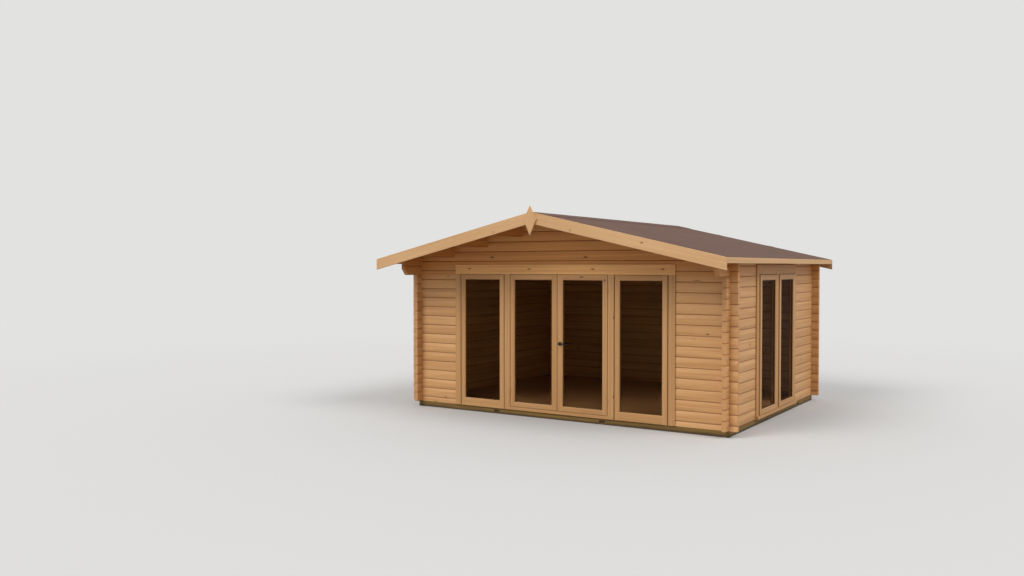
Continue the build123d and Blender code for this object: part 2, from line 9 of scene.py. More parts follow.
import bmesh
import bpy
import numpy as np
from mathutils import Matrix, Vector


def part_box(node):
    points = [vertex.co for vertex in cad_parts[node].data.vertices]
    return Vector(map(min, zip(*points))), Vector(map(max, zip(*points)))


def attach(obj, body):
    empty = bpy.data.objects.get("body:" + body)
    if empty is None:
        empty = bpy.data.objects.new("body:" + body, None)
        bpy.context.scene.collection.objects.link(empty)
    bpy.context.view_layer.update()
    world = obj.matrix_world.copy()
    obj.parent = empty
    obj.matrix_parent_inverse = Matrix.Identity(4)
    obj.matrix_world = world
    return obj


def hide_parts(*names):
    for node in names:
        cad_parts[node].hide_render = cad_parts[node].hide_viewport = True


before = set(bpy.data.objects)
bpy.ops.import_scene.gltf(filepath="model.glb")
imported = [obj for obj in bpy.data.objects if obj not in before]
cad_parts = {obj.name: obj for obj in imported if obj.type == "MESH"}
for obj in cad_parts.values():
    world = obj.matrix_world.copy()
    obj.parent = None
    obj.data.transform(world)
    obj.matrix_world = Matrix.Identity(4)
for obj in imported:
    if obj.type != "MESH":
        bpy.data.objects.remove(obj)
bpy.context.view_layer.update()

LOG = logging.getLogger("cabin")
CABIN = "cabin"
SEED = 20
SMOOTH_ANGLE = math.radians(34)
ROOF_PITCH = math.radians(12.9)
PITCH_COS, PITCH_SIN = math.cos(ROOF_PITCH), math.sin(ROOF_PITCH)
MERGE = 1e-5
FAR = 1e3
GRAIN_RANGE = (5, 90)

Pair = tuple[float, float]
Point = tuple[float, float, float]
Colour = tuple[float, float, float, float]
Coords = tuple[np.ndarray, np.ndarray, np.ndarray]
Material = bpy.types.Material
Thing = bpy.types.Object
Tree = bpy.types.NodeTree
Node = bpy.types.Node
Socket = bpy.types.NodeSocket
Value = float | Socket


# Sizes


@dataclass(frozen=True)
class CabinSizes:
    """The cabin's main planes and log sizes, read from the frame, in metres."""

    base: float
    log_height: float
    log_thick: float
    log_end: float
    side_face: float
    front_face: float
    back_face: float
    ridge: float
    pitch: float = ROOF_PITCH
    side_courses: int = 16
    corbel_courses: int = 2

    @classmethod
    def from_frame(cls) -> "CabinSizes":
        """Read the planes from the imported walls.

        Returns:
            The sizes that the pieces below share.
        """
        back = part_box("back_wall")
        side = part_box("left_wall")
        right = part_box("right_wall_front")
        courses = cls.side_courses - cls.corbel_courses
        return cls(
            base=side[0].z,
            log_height=(side[1].z - side[0].z) / courses,
            log_thick=back[1].y - back[0].y,
            log_end=back[1].x - right[1].x,
            side_face=right[1].x,
            front_face=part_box("front_gable")[0].y,
            back_face=back[1].y,
            ridge=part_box("ridge_purlin")[1].z,
        )

    @property
    def slope(self) -> float:
        """Rise of the roof for each metre across."""
        return math.tan(self.pitch)

    @property
    def side_top(self) -> float:
        """Height of the last joint of the side walls."""
        return self.base + self.side_courses * self.log_height

    def roof_height(self, x: np.ndarray) -> np.ndarray:
        """Underside of the roof boards at x: the ridge less the slope times the distance."""
        return self.ridge - np.abs(x) * self.slope

    def roof_reach(self, z: np.ndarray) -> np.ndarray:
        """Distance from the middle at which the roof comes down to z."""
        return np.maximum((self.ridge - z) / self.slope, 0.0)


# Meshes


@dataclass
class Surface:
    """Points and faces, with what the timber shader reads at each point.

    grain is the place in the timber: along it, across its face, through its thickness.
    tone is one random number for a whole board, and end is 1 on cut ends.
    """

    points: np.ndarray
    faces: list[tuple[int, ...]]
    grain: np.ndarray
    tone: np.ndarray
    end: np.ndarray


@dataclass(frozen=True)
class Axes:
    """Where a timber's own directions point, with its zero point, in the cabin's frame."""

    origin: Point
    along: Point
    across: Point
    depth: Point

    def world(self, local: np.ndarray) -> np.ndarray:
        """Origin plus each local coordinate times its direction."""
        return np.array(self.origin) + local @ np.array([self.along, self.across, self.depth])


def ring_faces(rings: int, size: int) -> np.ndarray:
    """Quads between neighbouring rings of a closed tube.

    Args:
        rings: Number of rings.
        size: Points in a ring.

    Returns:
        Rows of four point numbers: each point, the next one round, and the two above.
    """
    first = np.arange((rings - 1) * size).reshape(rings - 1, size)
    following = np.roll(first, -1, axis=1)
    return np.stack([first, following, following + size, first + size], axis=-1).reshape(-1, 4)


def enclosed_volume(points: np.ndarray, quads: np.ndarray, caps: list[tuple[int, ...]]) -> float:
    """Signed volume: the sum of each triangle's box product over six.

    Args:
        points: Rows of coordinates.
        quads: Rows of four point numbers.
        caps: The end faces, as point numbers.

    Returns:
        The volume, positive if the faces look outwards.
    """
    triangles = np.concatenate([quads[:, [0, 1, 2]], quads[:, [0, 2, 3]]])
    for cap in caps:
        ring = np.array(cap)
        fan = np.stack([np.full(len(ring) - 2, ring[0]), ring[1:-1], ring[2:]], axis=-1)
        triangles = np.concatenate([triangles, fan])
    a, b, c = (points[triangles[:, i]] - points.mean(0) for i in range(3))
    return float(np.einsum("ij,ij->i", a, np.cross(b, c)).sum() / 6.0)


def closed_tube(
    points: np.ndarray, fold: tuple[int, int] | None = None
) -> tuple[np.ndarray, list[tuple[int, ...]]]:
    """Join rings of points into a closed solid whose faces look outwards.

    Args:
        points: Rings, points in a ring, and three coordinates.
        fold: Two places in a ring between which the end faces bend, or None.

    Returns:
        The points as rows, and the faces.
    """
    rings, size, _ = points.shape
    rows = points.reshape(-1, 3)
    quads = ring_faces(rings, size)
    ring = list(range(size))
    flats = [ring]
    if fold is not None:
        flats = [ring[fold[0] : fold[1] + 1], ring[fold[1] :] + ring[: fold[0] + 1]]
    last = (rings - 1) * size
    caps = [tuple(flat)[::-1] for flat in flats] + [tuple(i + last for i in flat) for flat in flats]
    if enclosed_volume(rows, quads, caps) < 0:
        quads = quads[:, ::-1]
        caps = [cap[::-1] for cap in caps]
    return rows, [tuple(q) for q in quads.tolist()] + caps


def bare_tube(rings: np.ndarray) -> Surface:
    """A closed solid of a material without grain, which reads no tone and no cut ends.

    Args:
        rings: Rings, points in a ring, and three coordinates.

    Returns:
        The solid's surface.
    """
    points, faces = closed_tube(rings)
    zeros = np.zeros(len(points))
    return Surface(points, faces, points.copy(), zeros, zeros)


Trim = Callable[[np.ndarray, np.ndarray, np.ndarray], Coords]


@dataclass(frozen=True)
class Station:
    """A place along a timber: how far the section is drawn in there, and its height limit."""

    at: float
    inset: float = 0.0
    reach: float = FAR


def timber(
    section: np.ndarray,
    stations: list[Station],
    axes: Axes,
    tone: float,
    shift: float,
    trim: Trim | None = None,
    fold: tuple[int, int] | None = None,
) -> Surface:
    """Carry a section along a straight timber.

    The section is cut off at each station's reach and drawn in by its inset, and trim
    then moves what stands past a roof plane or a slanted end back onto it.

    Args:
        section: Rows of place across the face and through the thickness.
        stations: Places along the timber.
        axes: Its directions.
        tone: Random number of this timber.
        shift: Distance along the grain that makes its figure its own.
        trim: Moves the coordinates along, across and through.
        fold: Two places in the section between which the ends bend, or None.

    Returns:
        A closed surface.
    """
    low, high = section.min(0), section.max(0)
    along, inset, reach = np.array([(s.at, s.inset, s.reach) for s in stations]).T[:, :, None]
    along = along + np.zeros(len(section))
    across = np.clip(section[:, 0], np.maximum(low[0] + inset, -reach), np.minimum(high[0] - inset, reach))
    depth = np.clip(section[:, 1] + 0 * inset, low[1] + inset, high[1] - inset)
    if trim:
        along, across, depth = trim(along, across, depth)
    local = np.stack([along, across, depth], axis=-1)
    points, faces = closed_tube(axes.world(local), fold)
    grain = local.reshape(-1, 3) + np.array([shift, 0.0, 0.0])
    end = np.zeros((len(stations), len(section)))
    end[[0, -1]] = 1.0
    return Surface(points, faces, grain, np.full(len(points), tone), end.ravel())


def eased_ends(start: float, stop: float, ease: float, short: float = 0.0) -> list[Station]:
    """Stations of a plain timber with both ends eased.

    Args:
        start: Where the timber may begin.
        stop: Where it may end.
        ease: How far the ends are drawn in, and over what length.
        short: How far each end stays back from its limit.

    Returns:
        Four stations.
    """
    first, last = Station(start + short, ease), Station(stop - short, ease)
    return [first, Station(start + ease), Station(stop - ease), last]


def draw_grain(rng: np.random.Generator) -> Pair:
    """A timber's random tone, then its random place along the grain."""
    return float(rng.random()), float(rng.uniform(*GRAIN_RANGE))


def together(parts: list[Surface]) -> Surface:
    """Several surfaces as one, with their faces renumbered.

    Args:
        parts: The surfaces.

    Returns:
        One surface.
    """
    starts = np.cumsum([0] + [len(p.points) for p in parts])
    faces = [tuple(i + start for i in face) for p, start in zip(parts, starts) for face in p.faces]
    points, grain, tone, end = (
        np.concatenate([getattr(p, label) for p in parts]) for label in ("points", "grain", "tone", "end")
    )
    return Surface(points, faces, grain, tone, end)


def rounded_section(width: float, thick: float, radius: float, steps: int = 3) -> np.ndarray:
    """A rectangle about its middle with rounded corners.

    Each corner is a quarter circle: its centre plus the radius times cosine and sine.

    Args:
        width: Size across the face.
        thick: Size through the thickness.
        radius: Radius of the corners.
        steps: Points of each corner.

    Returns:
        Rows of place across and through.
    """
    turn = np.linspace(0.0, math.pi / 2, steps)
    corners = []
    for quarter, (a, d) in enumerate(((1, 1), (-1, 1), (-1, -1), (1, -1))):
        angle = turn + quarter * math.pi / 2
        centre = np.array([a * (width / 2 - radius), d * (thick / 2 - radius)])
        corners.append(centre + radius * np.stack([np.cos(angle), np.sin(angle)], axis=-1))
    return np.concatenate(corners)


def link(name: str, data: bpy.types.ID) -> Thing:
    """A new object, in the scene.

    Args:
        name: Its name.
        data: Its mesh, camera or lamp.

    Returns:
        The object.
    """
    made = bpy.data.objects.new(name, data)
    bpy.context.scene.collection.objects.link(made)
    return made


def make_object(name: str, surface: Surface, material: Material) -> Thing:
    """A mesh object at the origin, its doubles merged and its edges sharp past an angle.

    Args:
        name: The piece's name.
        surface: What it is made of.
        material: Its finish.

    Returns:
        The linked object.
    """
    mesh = bpy.data.meshes.new(name)
    mesh.from_pydata(surface.points, [], surface.faces)
    for label, kind, key in (
        ("grain", "FLOAT_VECTOR", "vector"),
        ("tone", "FLOAT", "value"),
        ("end", "FLOAT", "value"),
    ):
        values = np.ascontiguousarray(getattr(surface, label), np.float32)
        mesh.attributes.new(label, kind, "POINT").data.foreach_set(key, values.ravel())
    work = bmesh.new()
    work.from_mesh(mesh)
    bmesh.ops.remove_doubles(work, verts=work.verts, dist=MERGE)
    bmesh.ops.dissolve_degenerate(work, edges=work.edges, dist=MERGE)
    work.to_mesh(mesh)
    work.free()
    mesh.validate()
    mesh.shade_smooth()
    mesh.set_sharp_from_angle(angle=SMOOTH_ANGLE)
    mesh.materials.append(material)
    return link(name, mesh)


def add_piece(
    name: str,
    surface: Surface,
    material: Material,
    body: str = CABIN,
    stands_for: tuple[str, ...] = (),
) -> Thing:
    """Make a piece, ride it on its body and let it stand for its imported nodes.

    Args:
        name: The piece's name.
        surface: What it is made of.
        material: Its finish.
        body: The body that it moves with.
        stands_for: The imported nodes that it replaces.

    Returns:
        The piece.
    """
    piece = make_object(name, surface, material)
    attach(piece, body)
    if stands_for:
        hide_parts(*stands_for)
    LOG.info("%s: %d faces, on %s", name, len(piece.data.polygons), body)
    return piece


# Shaders


def srgb(red: int, green: int, blue: int) -> Colour:
    """A colour as seen, turned into the linear values that shaders use.

    Args:
        red: Red from 0 to 255.
        green: Green from 0 to 255.
        blue: Blue from 0 to 255.

    Returns:
        Linear red, green and blue, and a full alpha.
    """
    seen = np.array([red, green, blue]) / 255.0
    linear = np.where(seen <= 0.04045, seen / 12.92, ((seen + 0.055) / 1.055) ** 2.4)
    return (*linear.tolist(), 1.0)


class Graph:
    """Short calls that add nodes to a tree and join them."""

    def __init__(self, tree: Tree) -> None:
        """Keep the tree."""
        self.tree = tree

    def node(self, kind: str, **settings: object) -> Node:
        """Add a node.

        Args:
            kind: Its type.
            **settings: Its properties.

        Returns:
            The node.
        """
        made = self.tree.nodes.new(kind)
        for key, value in settings.items():
            setattr(made, key, value)
        return made

    def feed(self, socket: Socket, value: object) -> None:
        """Join a socket to another, or set its value.

        Args:
            socket: The input.
            value: A socket, a value, or None to leave the input as it is.
        """
        if isinstance(value, Socket):
            self.tree.links.new(value, socket)
        elif value is not None:
            socket.default_value = value

    def feed_all(self, node: Node, values: dict[str | int, object]) -> None:
        """Feed several inputs of a node, by their names or numbers."""
        for key, value in values.items():
            self.feed(node.inputs[key], value)

    def object_place(self) -> Socket:
        """The place on the piece, in object coordinates."""
        return self.node("ShaderNodeTexCoord").outputs["Object"]

    def math(self, operation: str, a: Value, b: Value | None = None, c: Value | None = None) -> Socket:
        """One Math node.

        Args:
            operation: What it works out.
            a: First number.
            b: Second number.
            c: Third number.

        Returns:
            The result.
        """
        made = self.node("ShaderNodeMath", operation=operation)
        self.feed_all(made, {0: a, 1: b, 2: c})
        return made.outputs[0]

    def vector(self, operation: str, a: object, b: object = None) -> Socket:
        """One Vector Math node.

        Args:
            operation: What it works out.
            a: First vector.
            b: Second vector.

        Returns:
            A vector, or a number for a product or length.
        """
        made = self.node("ShaderNodeVectorMath", operation=operation)
        self.feed_all(made, {0: a, 1: b})
        return made.outputs["Value" if operation in ("DOT_PRODUCT", "LENGTH") else "Vector"]

    def combine(self, x: Value, y: Value, z: Value) -> Socket:
        """A vector from three numbers.

        Args:
            x: First number.
            y: Second number.
            z: Third number.

        Returns:
            The vector.
        """
        made = self.node("ShaderNodeCombineXYZ")
        self.feed_all(made, {0: x, 1: y, 2: z})
        return made.outputs[0]

    def split(self, vector: Socket) -> tuple[Socket, Socket, Socket]:
        """The three numbers of a vector.

        Args:
            vector: The vector.

        Returns:
            Its three numbers.
        """
        made = self.node("ShaderNodeSeparateXYZ")
        self.feed(made.inputs[0], vector)
        return made.outputs[0], made.outputs[1], made.outputs[2]

    def noise(self, place: Socket, scale: float, detail: float = 2.0, rough: float = 0.5) -> Node:
        """Smooth noise.

        Args:
            place: Where it is read.
            scale: Cells for each metre.
            detail: Finer layers.
            rough: Share of each finer layer.

        Returns:
            The node.
        """
        made = self.node("ShaderNodeTexNoise", noise_dimensions="3D")
        self.feed_all(made, {"Vector": place, "Scale": scale, "Detail": detail, "Roughness": rough})
        return made

    def band(self, value: Socket, start: Value, stop: Value, low: float = 0.0, high: float = 1.0) -> Socket:
        """A smooth step.

        Args:
            value: What it reads.
            start: Value at which the step starts.
            stop: Value at which it ends.
            low: Result before it.
            high: Result after it.

        Returns:
            The result.
        """
        made = self.node("ShaderNodeMapRange", interpolation_type="SMOOTHSTEP")
        self.feed_all(made, {0: value, 1: start, 2: stop, 3: low, 4: high})
        return made.outputs[0]

    def mix(self, factor: Value, a: object, b: object, blend: str = "MIX") -> Socket:
        """Two colours mixed.

        Args:
            factor: Share of the second colour.
            a: First colour.
            b: Second colour.
            blend: How they mix.

        Returns:
            The colour.
        """
        made = self.node("ShaderNodeMix", data_type="RGBA", blend_type=blend)
        self.feed_all(made, {"Factor": factor, 6: a, 7: b})
        return made.outputs[2]

    def shaded(self, share: Value, strength: float, colour: object, other: object) -> Socket:
        """A colour mixed with another by a share times a strength."""
        return self.mix(self.math("MULTIPLY", share, strength), colour, other)


def new_group(name: str, inputs: dict[str, str], outputs: dict[str, str]) -> tuple[Tree, Graph]:
    """An empty shader group with its sockets.

    Args:
        name: The group's name.
        inputs: Socket names and types.
        outputs: Socket names and types.

    Returns:
        The tree, and a graph on it.
    """
    tree = bpy.data.node_groups.new(name, "ShaderNodeTree")
    for in_out, sockets in (("INPUT", inputs), ("OUTPUT", outputs)):
        for label, kind in sockets.items():
            tree.interface.new_socket(label, in_out=in_out, socket_type=kind)
    return tree, Graph(tree)


@dataclass(frozen=True)
class FigureScale:
    """The figure in sawn softwood: sizes in metres, noise scales per metre, and shares."""

    wander_along: float = 0.55
    wander_across: float = 5.0
    wander_detail: float = 1.5
    heart_across: float = 0.11
    heart_depth: float = 0.07
    knot_cell: Pair = (0.36, 0.15)
    knot_small: float = 0.004
    knot_large: float = 0.013
    knot_pull: float = 0.012
    knot_stretch: float = 0.72
    knot_rim: Pair = (1.12, 0.8)
    halo_reach: float = 4.5
    ring_rise: float = 2.2
    ring_fall: float = 0.93
    noise_rough: float = 0.6
    streak_along: float = 0.5
    streak_across: float = 26.0
    fibre_along: float = 9.0
    fibre_across: float = 750.0


def timber_figure(scale: FigureScale) -> Tree:
    """The shared group that draws growth rings, streaks, fibres and knots in a timber.

    Rings are the fractions of the distance to a wandering heart over the ring width.
    Knots are the near points of a stretched cell pattern, and pull the rings round them.

    Args:
        scale: Sizes of the figure.

    Returns:
        The group.
    """
    number, vector = "NodeSocketFloat", "NodeSocketVector"
    inputs = {"Place": vector, "Ring Width": number, "Knot Share": number}
    outputs = {"Rings": number, "Streaks": number, "Fibre": number, "Knot": number, "Halo": number}
    tree, g = new_group("timber_figure", inputs, outputs)
    given = g.node("NodeGroupInput")
    place = given.outputs["Place"]
    along, across, depth = g.split(place)

    slow = g.vector("MULTIPLY", place, (scale.wander_along, scale.wander_across, scale.wander_across))
    wander = g.noise(slow, 1.0, scale.wander_detail)
    heart_a, heart_d, _ = g.split(g.vector("SUBTRACT", wander.outputs["Color"], (0.5, 0.5, 0.5)))
    off_a = g.math("SUBTRACT", across, g.math("MULTIPLY", heart_a, scale.heart_across * 2))
    off_d = g.math("SUBTRACT", depth, g.math("MULTIPLY", heart_d, scale.heart_depth * 2))
    radius = g.vector("LENGTH", g.combine(off_a, off_d, 0.0))

    long_side, short_side = scale.knot_cell
    cells = g.node("ShaderNodeTexVoronoi", voronoi_dimensions="2D", feature="F1")
    cell_place = g.combine(g.math("DIVIDE", along, long_side), g.math("DIVIDE", across, short_side), 0.0)
    g.feed_all(cells, {"Vector": cell_place, "Scale": 1.0})
    point_a, point_b, _ = g.split(cells.outputs["Position"])
    run_a = g.math("SUBTRACT", along, g.math("MULTIPLY", point_a, long_side))
    run_b = g.math("SUBTRACT", across, g.math("MULTIPLY", point_b, short_side))
    away = g.vector("LENGTH", g.combine(g.math("MULTIPLY", run_a, scale.knot_stretch), run_b, 0.0))
    chance, size, _ = g.split(cells.outputs["Color"])
    there = g.math("LESS_THAN", chance, given.outputs["Knot Share"])
    knot_radius = g.math("MULTIPLY_ADD", size, scale.knot_large - scale.knot_small, scale.knot_small)
    rim, core = (g.math("MULTIPLY", knot_radius, share) for share in scale.knot_rim)
    knot = g.math("MULTIPLY", there, g.band(away, rim, core))
    halo_edge = g.math("MULTIPLY", knot_radius, scale.halo_reach)
    halo = g.math("MULTIPLY", there, g.band(away, halo_edge, knot_radius))

    pulled = g.math("MULTIPLY_ADD", halo, scale.knot_pull, radius)
    cycle = g.math("FRACT", g.math("DIVIDE", pulled, given.outputs["Ring Width"]))
    rings = g.math("MULTIPLY", g.math("POWER", cycle, scale.ring_rise), g.band(cycle, 1.0, scale.ring_fall))

    streak_scale = (scale.streak_along, scale.streak_across, scale.streak_across)
    streaks = g.noise(g.vector("MULTIPLY", place, streak_scale), 1.0, 3.0, scale.noise_rough)
    fibre_scale = (scale.fibre_along, scale.fibre_across, scale.fibre_across)
    fibre = g.noise(g.vector("MULTIPLY", place, fibre_scale), 1.0, 2.0, scale.noise_rough)

    results = {"Rings": rings, "Knot": knot, "Halo": halo}
    results |= {"Streaks": streaks.outputs["Fac"], "Fibre": fibre.outputs["Fac"]}
    g.feed_all(g.node("NodeGroupOutput"), results)
    return tree


class Lie(Enum):
    """The way the grain of a packed timber lies: its directions along, across and through."""

    ACROSS = ((1, 0, 0), (0, 0, 1), (0, 1, 0))
    DEEP = ((0, 1, 0), (0, 0, 1), (1, 0, 0))
    UPRIGHT = ((0, 0, 1), (1, 0, 0), (0, 1, 0))
    UPRIGHT_SIDE = ((0, 0, 1), (0, 1, 0), (1, 0, 0))
    SLOPE_LEFT = ((PITCH_COS, 0, PITCH_SIN), (-PITCH_SIN, 0, PITCH_COS), (0, 1, 0))
    SLOPE_RIGHT = ((PITCH_COS, 0, -PITCH_SIN), (PITCH_SIN, 0, PITCH_COS), (0, 1, 0))


def plain_material(name: str) -> tuple[Material, Graph, Node]:
    """A new material.

    Args:
        name: Its name.

    Returns:
        The material, a graph on it and its Principled shader.
    """
    material = bpy.data.materials.new(name)
    material.use_nodes = True
    return material, Graph(material.node_tree), material.node_tree.nodes["Principled BSDF"]


def add_bump(g: Graph, shader: Node, height: Socket, strength: float, distance: float) -> None:
    """Give a shader relief through a Bump node.

    Args:
        g: The material's graph.
        shader: Its Principled shader.
        height: The relief.
        strength: Share of it that shows.
        distance: Its height in metres.
    """
    bump = g.node("ShaderNodeBump")
    g.feed_all(bump, {"Strength": strength, "Distance": distance, "Height": height})
    g.feed(shader.inputs["Normal"], bump.outputs["Normal"])


@dataclass(frozen=True)
class Knot:
    """A knot that the photograph shows: its place, half width and half height."""

    place: Point
    wide: float
    tall: float


@dataclass(frozen=True)
class ShadedSlot:
    """A slot whose inside gets painted shade: its middle, and half its size each way."""

    middle: Point
    half: Point


@dataclass(frozen=True)
class Stain:
    """How strongly each part of the figure shows, and the colours of the darker places."""

    streak_band: Pair = (0.3, 0.72)
    fibre: float = 0.16
    halo: float = 0.35
    knot: float = 0.7
    cut_end: float = 0.6
    fibre_rough: float = 0.16
    ring_rough: float = -0.08
    fibre_relief: float = 0.5
    ring_relief: float = 0.5
    knot_relief: float = 0.7
    relief: float = 0.0006
    # Dirt with painted shade in the V between courses.
    joint_edge: Pair = (0.008, 0.002)
    joint_dirt_and_shade_share: float = 0.62
    joint_dirt_and_shade_colour: Colour = srgb(116, 68, 32)
    rim_band: Pair = (2.6, 1.0)
    rim_share: float = 0.35
    heart_band: Pair = (1.3, 0.6)
    heart_share: float = 0.9
    # Painted shade under the eaves: a colour multiplied in by height.
    eave_shade_band: Pair = (1.75, 2.2)
    eave_shade_colour: Colour = (1.0, 0.8, 0.47, 1.0)
    # Painted shade inside slots.
    slot_shade_band: Pair = (1.0, 0.96)
    slot_shade_share: float = 0.85
    slot_shade_colour: Colour = srgb(36, 24, 12)
    # Painted shade beside gaps.
    gap_shade_band: Pair = (0.0016, 0.0008)
    gap_shade_share: float = 0.8
    gap_shade_colour: Colour = srgb(84, 48, 24)
    # Darker towards the ground, with an uneven edge.
    dark_foot_edge_scale: float = 6.0
    dark_foot_edge_wander: float = 0.03
    dark_foot_full: float = 0.35
    dark_foot_share: float = 0.75
    dark_foot_colour: Colour = srgb(46, 34, 24)


@dataclass(frozen=True)
class TimberFinish:
    """Planed or sawn softwood with a clear or coloured stain."""

    name: str
    pale: Colour
    deep: Colour
    end: Colour
    knot: Colour = srgb(104, 62, 33)
    ring_width: float = 0.0042
    knot_share: float = 0.04
    figure: float = 0.34
    streak: float = 0.6
    tone: float = 0.16
    rough: float = 0.52
    bump: float = 0.35
    joint: float = 0.0
    dark_foot_height: float = 0.0
    # Share of painted shade under the eaves.
    eave_shade: float = 0.0
    # Places of painted shade beside gaps.
    gaps: tuple[float, ...] = ()
    # Slots with painted shade inside.
    slots: tuple[ShadedSlot, ...] = ()
    knots: tuple[Knot, ...] = ()
    stain: Stain = Stain()

    def build(self, group: Tree, lie: Lie | None = None) -> Material:
        """Make the material, or find it where it is made already.

        Args:
            group: The shared timber figure.
            lie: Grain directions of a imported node, or None for a piece with its own grain.

        Returns:
            The material.
        """
        label = self.name if lie is None else f"{self.name}_{lie.name.lower()}"
        known = bpy.data.materials.get(label)
        if known:
            return known
        material, g, shader = plain_material(label)
        place, tone, end = self.sources(g, lie)
        figure = g.node("ShaderNodeGroup", node_tree=group)
        g.feed_all(figure, {"Place": place, "Ring Width": self.ring_width, "Knot Share": self.knot_share})
        out, stain = figure.outputs, self.stain
        g.feed(shader.inputs["Base Color"], self.colour(g, out, place, tone, end))
        rough = g.math("MULTIPLY_ADD", out["Fibre"], stain.fibre_rough, self.rough)
        g.feed(shader.inputs["Roughness"], g.math("MULTIPLY_ADD", out["Rings"], stain.ring_rough, rough))
        height = g.math("MULTIPLY", out["Rings"], stain.ring_relief)
        height = g.math("MULTIPLY_ADD", out["Fibre"], stain.fibre_relief, height)
        height = g.math("MULTIPLY_ADD", out["Knot"], stain.knot_relief, height)
        add_bump(g, shader, height, self.bump, stain.relief)
        return material

    def colour(
        self, g: Graph, out: bpy.types.NodeOutputs, place: Socket, tone: Value, end: Value
    ) -> Socket:
        """The stain's colour: pale to deep by the figure, then knots and cut ends, dirt with painted shade in
        the V between courses, a darker foot, and painted shade under the eaves, inside slots and beside gaps.

        Args:
            g: The material's graph.
            out: Outputs of the timber figure.
            place: Place in the timber.
            tone: Random number of the board.
            end: 1 on cut ends.

        Returns:
            The colour.
        """
        stain = self.stain
        share = g.math("MULTIPLY", out["Rings"], self.figure)
        share = g.math("MULTIPLY_ADD", g.band(out["Streaks"], *stain.streak_band), self.streak, share)
        share = g.math("MULTIPLY_ADD", out["Fibre"], stain.fibre, share)
        share = g.math("MULTIPLY_ADD", out["Halo"], stain.halo, share)
        share = g.math("MULTIPLY_ADD", g.math("SUBTRACT", tone, 0.5), self.tone * 2, share)
        clamped = g.node("ShaderNodeClamp")
        g.feed(clamped.inputs[0], share)
        colour = g.mix(clamped.outputs[0], self.pale, self.deep)
        colour = g.shaded(out["Knot"], stain.knot, colour, self.knot)
        colour = g.shaded(end, stain.cut_end, colour, self.end)
        colour = self.placed_knots(g, colour)
        # Dirt with painted shade in the V between courses.
        if self.joint:
            colour = self.joints(g, place, colour)
        # Darker towards the ground.
        if self.dark_foot_height:
            colour = self.darker_foot(g, colour)
        # Painted shade under the eaves.
        if self.eave_shade:
            colour = self.painted_eave_shade(g, colour)
        # Painted shade beside gaps, then painted shade inside slots.
        return self.painted_slot_shade(g, self.painted_gap_shade(g, colour))

    def sources(self, g: Graph, lie: Lie | None) -> tuple[Socket, Value, Value]:
        """Where the figure is read.

        Args:
            g: The material's graph.
            lie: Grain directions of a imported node, or None for a piece with its own grain.

        Returns:
            Place in the timber, tone and cut end.
        """
        if lie is None:
            grain, tone, end = (
                g.node("ShaderNodeAttribute", attribute_name=label) for label in ("grain", "tone", "end")
            )
            return grain.outputs["Vector"], tone.outputs["Fac"], end.outputs["Fac"]
        where = g.object_place()
        parts = [g.vector("DOT_PRODUCT", where, direction) for direction in lie.value]
        return g.combine(*parts), 0.5, 0.0

    def joints(self, g: Graph, place: Socket, colour: Socket) -> Socket:
        """Dirt with painted shade in the V between two courses.

        Args:
            g: The material's graph.
            place: Place in the timber.
            colour: The colour so far.

        Returns:
            The colour.
        """
        start, stop = (self.joint - edge for edge in self.stain.joint_edge)
        near = g.band(g.math("ABSOLUTE", g.split(place)[1]), start, stop)
        return g.shaded(near, self.stain.joint_dirt_and_shade_share, colour, self.stain.joint_dirt_and_shade_colour)

    def placed_knots(self, g: Graph, colour: Socket) -> Socket:
        """Knots at chosen places: the distance to each over its half sizes, with soft rims.

        Args:
            g: The material's graph.
            colour: The colour so far.

        Returns:
            The colour.
        """
        stain = self.stain
        for knot in self.knots:
            shape = (1.0 / knot.wide, 1.0 / knot.wide, 1.0 / knot.tall)
            offset = g.vector("SUBTRACT", g.object_place(), knot.place)
            away = g.vector("LENGTH", g.vector("MULTIPLY", offset, shape))
            colour = g.shaded(g.band(away, *stain.rim_band), stain.rim_share, colour, self.deep)
            colour = g.shaded(g.band(away, *stain.heart_band), stain.heart_share, colour, self.knot)
        return colour

    def painted_eave_shade(self, g: Graph, colour: Socket) -> Socket:
        """Painted shade high up under the roof: a warmer, darker colour by height.

        Args:
            g: The material's graph.
            colour: The colour so far.

        Returns:
            The colour.
        """
        high = g.band(g.split(g.object_place())[2], *self.stain.eave_shade_band)
        share = g.math("MULTIPLY", high, self.eave_shade)
        return g.mix(share, colour, self.stain.eave_shade_colour, "MULTIPLY")

    def painted_slot_shade(self, g: Graph, colour: Socket) -> Socket:
        """Painted shade inside slots: where the distance to the middle over the half size is below one.

        Args:
            g: The material's graph.
            colour: The colour so far.

        Returns:
            The colour.
        """
        stain = self.stain
        for slot in self.slots:
            offset = g.vector("SUBTRACT", g.object_place(), slot.middle)
            x, y, z = g.split(g.vector("ABSOLUTE", g.vector("DIVIDE", offset, slot.half)))
            inside = g.band(g.math("MAXIMUM", x, g.math("MAXIMUM", y, z)), *stain.slot_shade_band)
            colour = g.shaded(inside, stain.slot_shade_share, colour, stain.slot_shade_colour)
        return colour

    def painted_gap_shade(self, g: Graph, colour: Socket) -> Socket:
        """Painted shade on the upright faces at chosen distances from the middle, beside the gaps.

        Args:
            g: The material's graph.
            colour: The colour so far.

        Returns:
            The colour.
        """
        stain = self.stain
        for gap in self.gaps:
            away = g.math("ABSOLUTE", g.split(g.object_place())[0])
            near = g.band(g.math("ABSOLUTE", g.math("SUBTRACT", away, gap)), *stain.gap_shade_band)
            colour = g.shaded(near, stain.gap_shade_share, colour, stain.gap_shade_colour)
        return colour

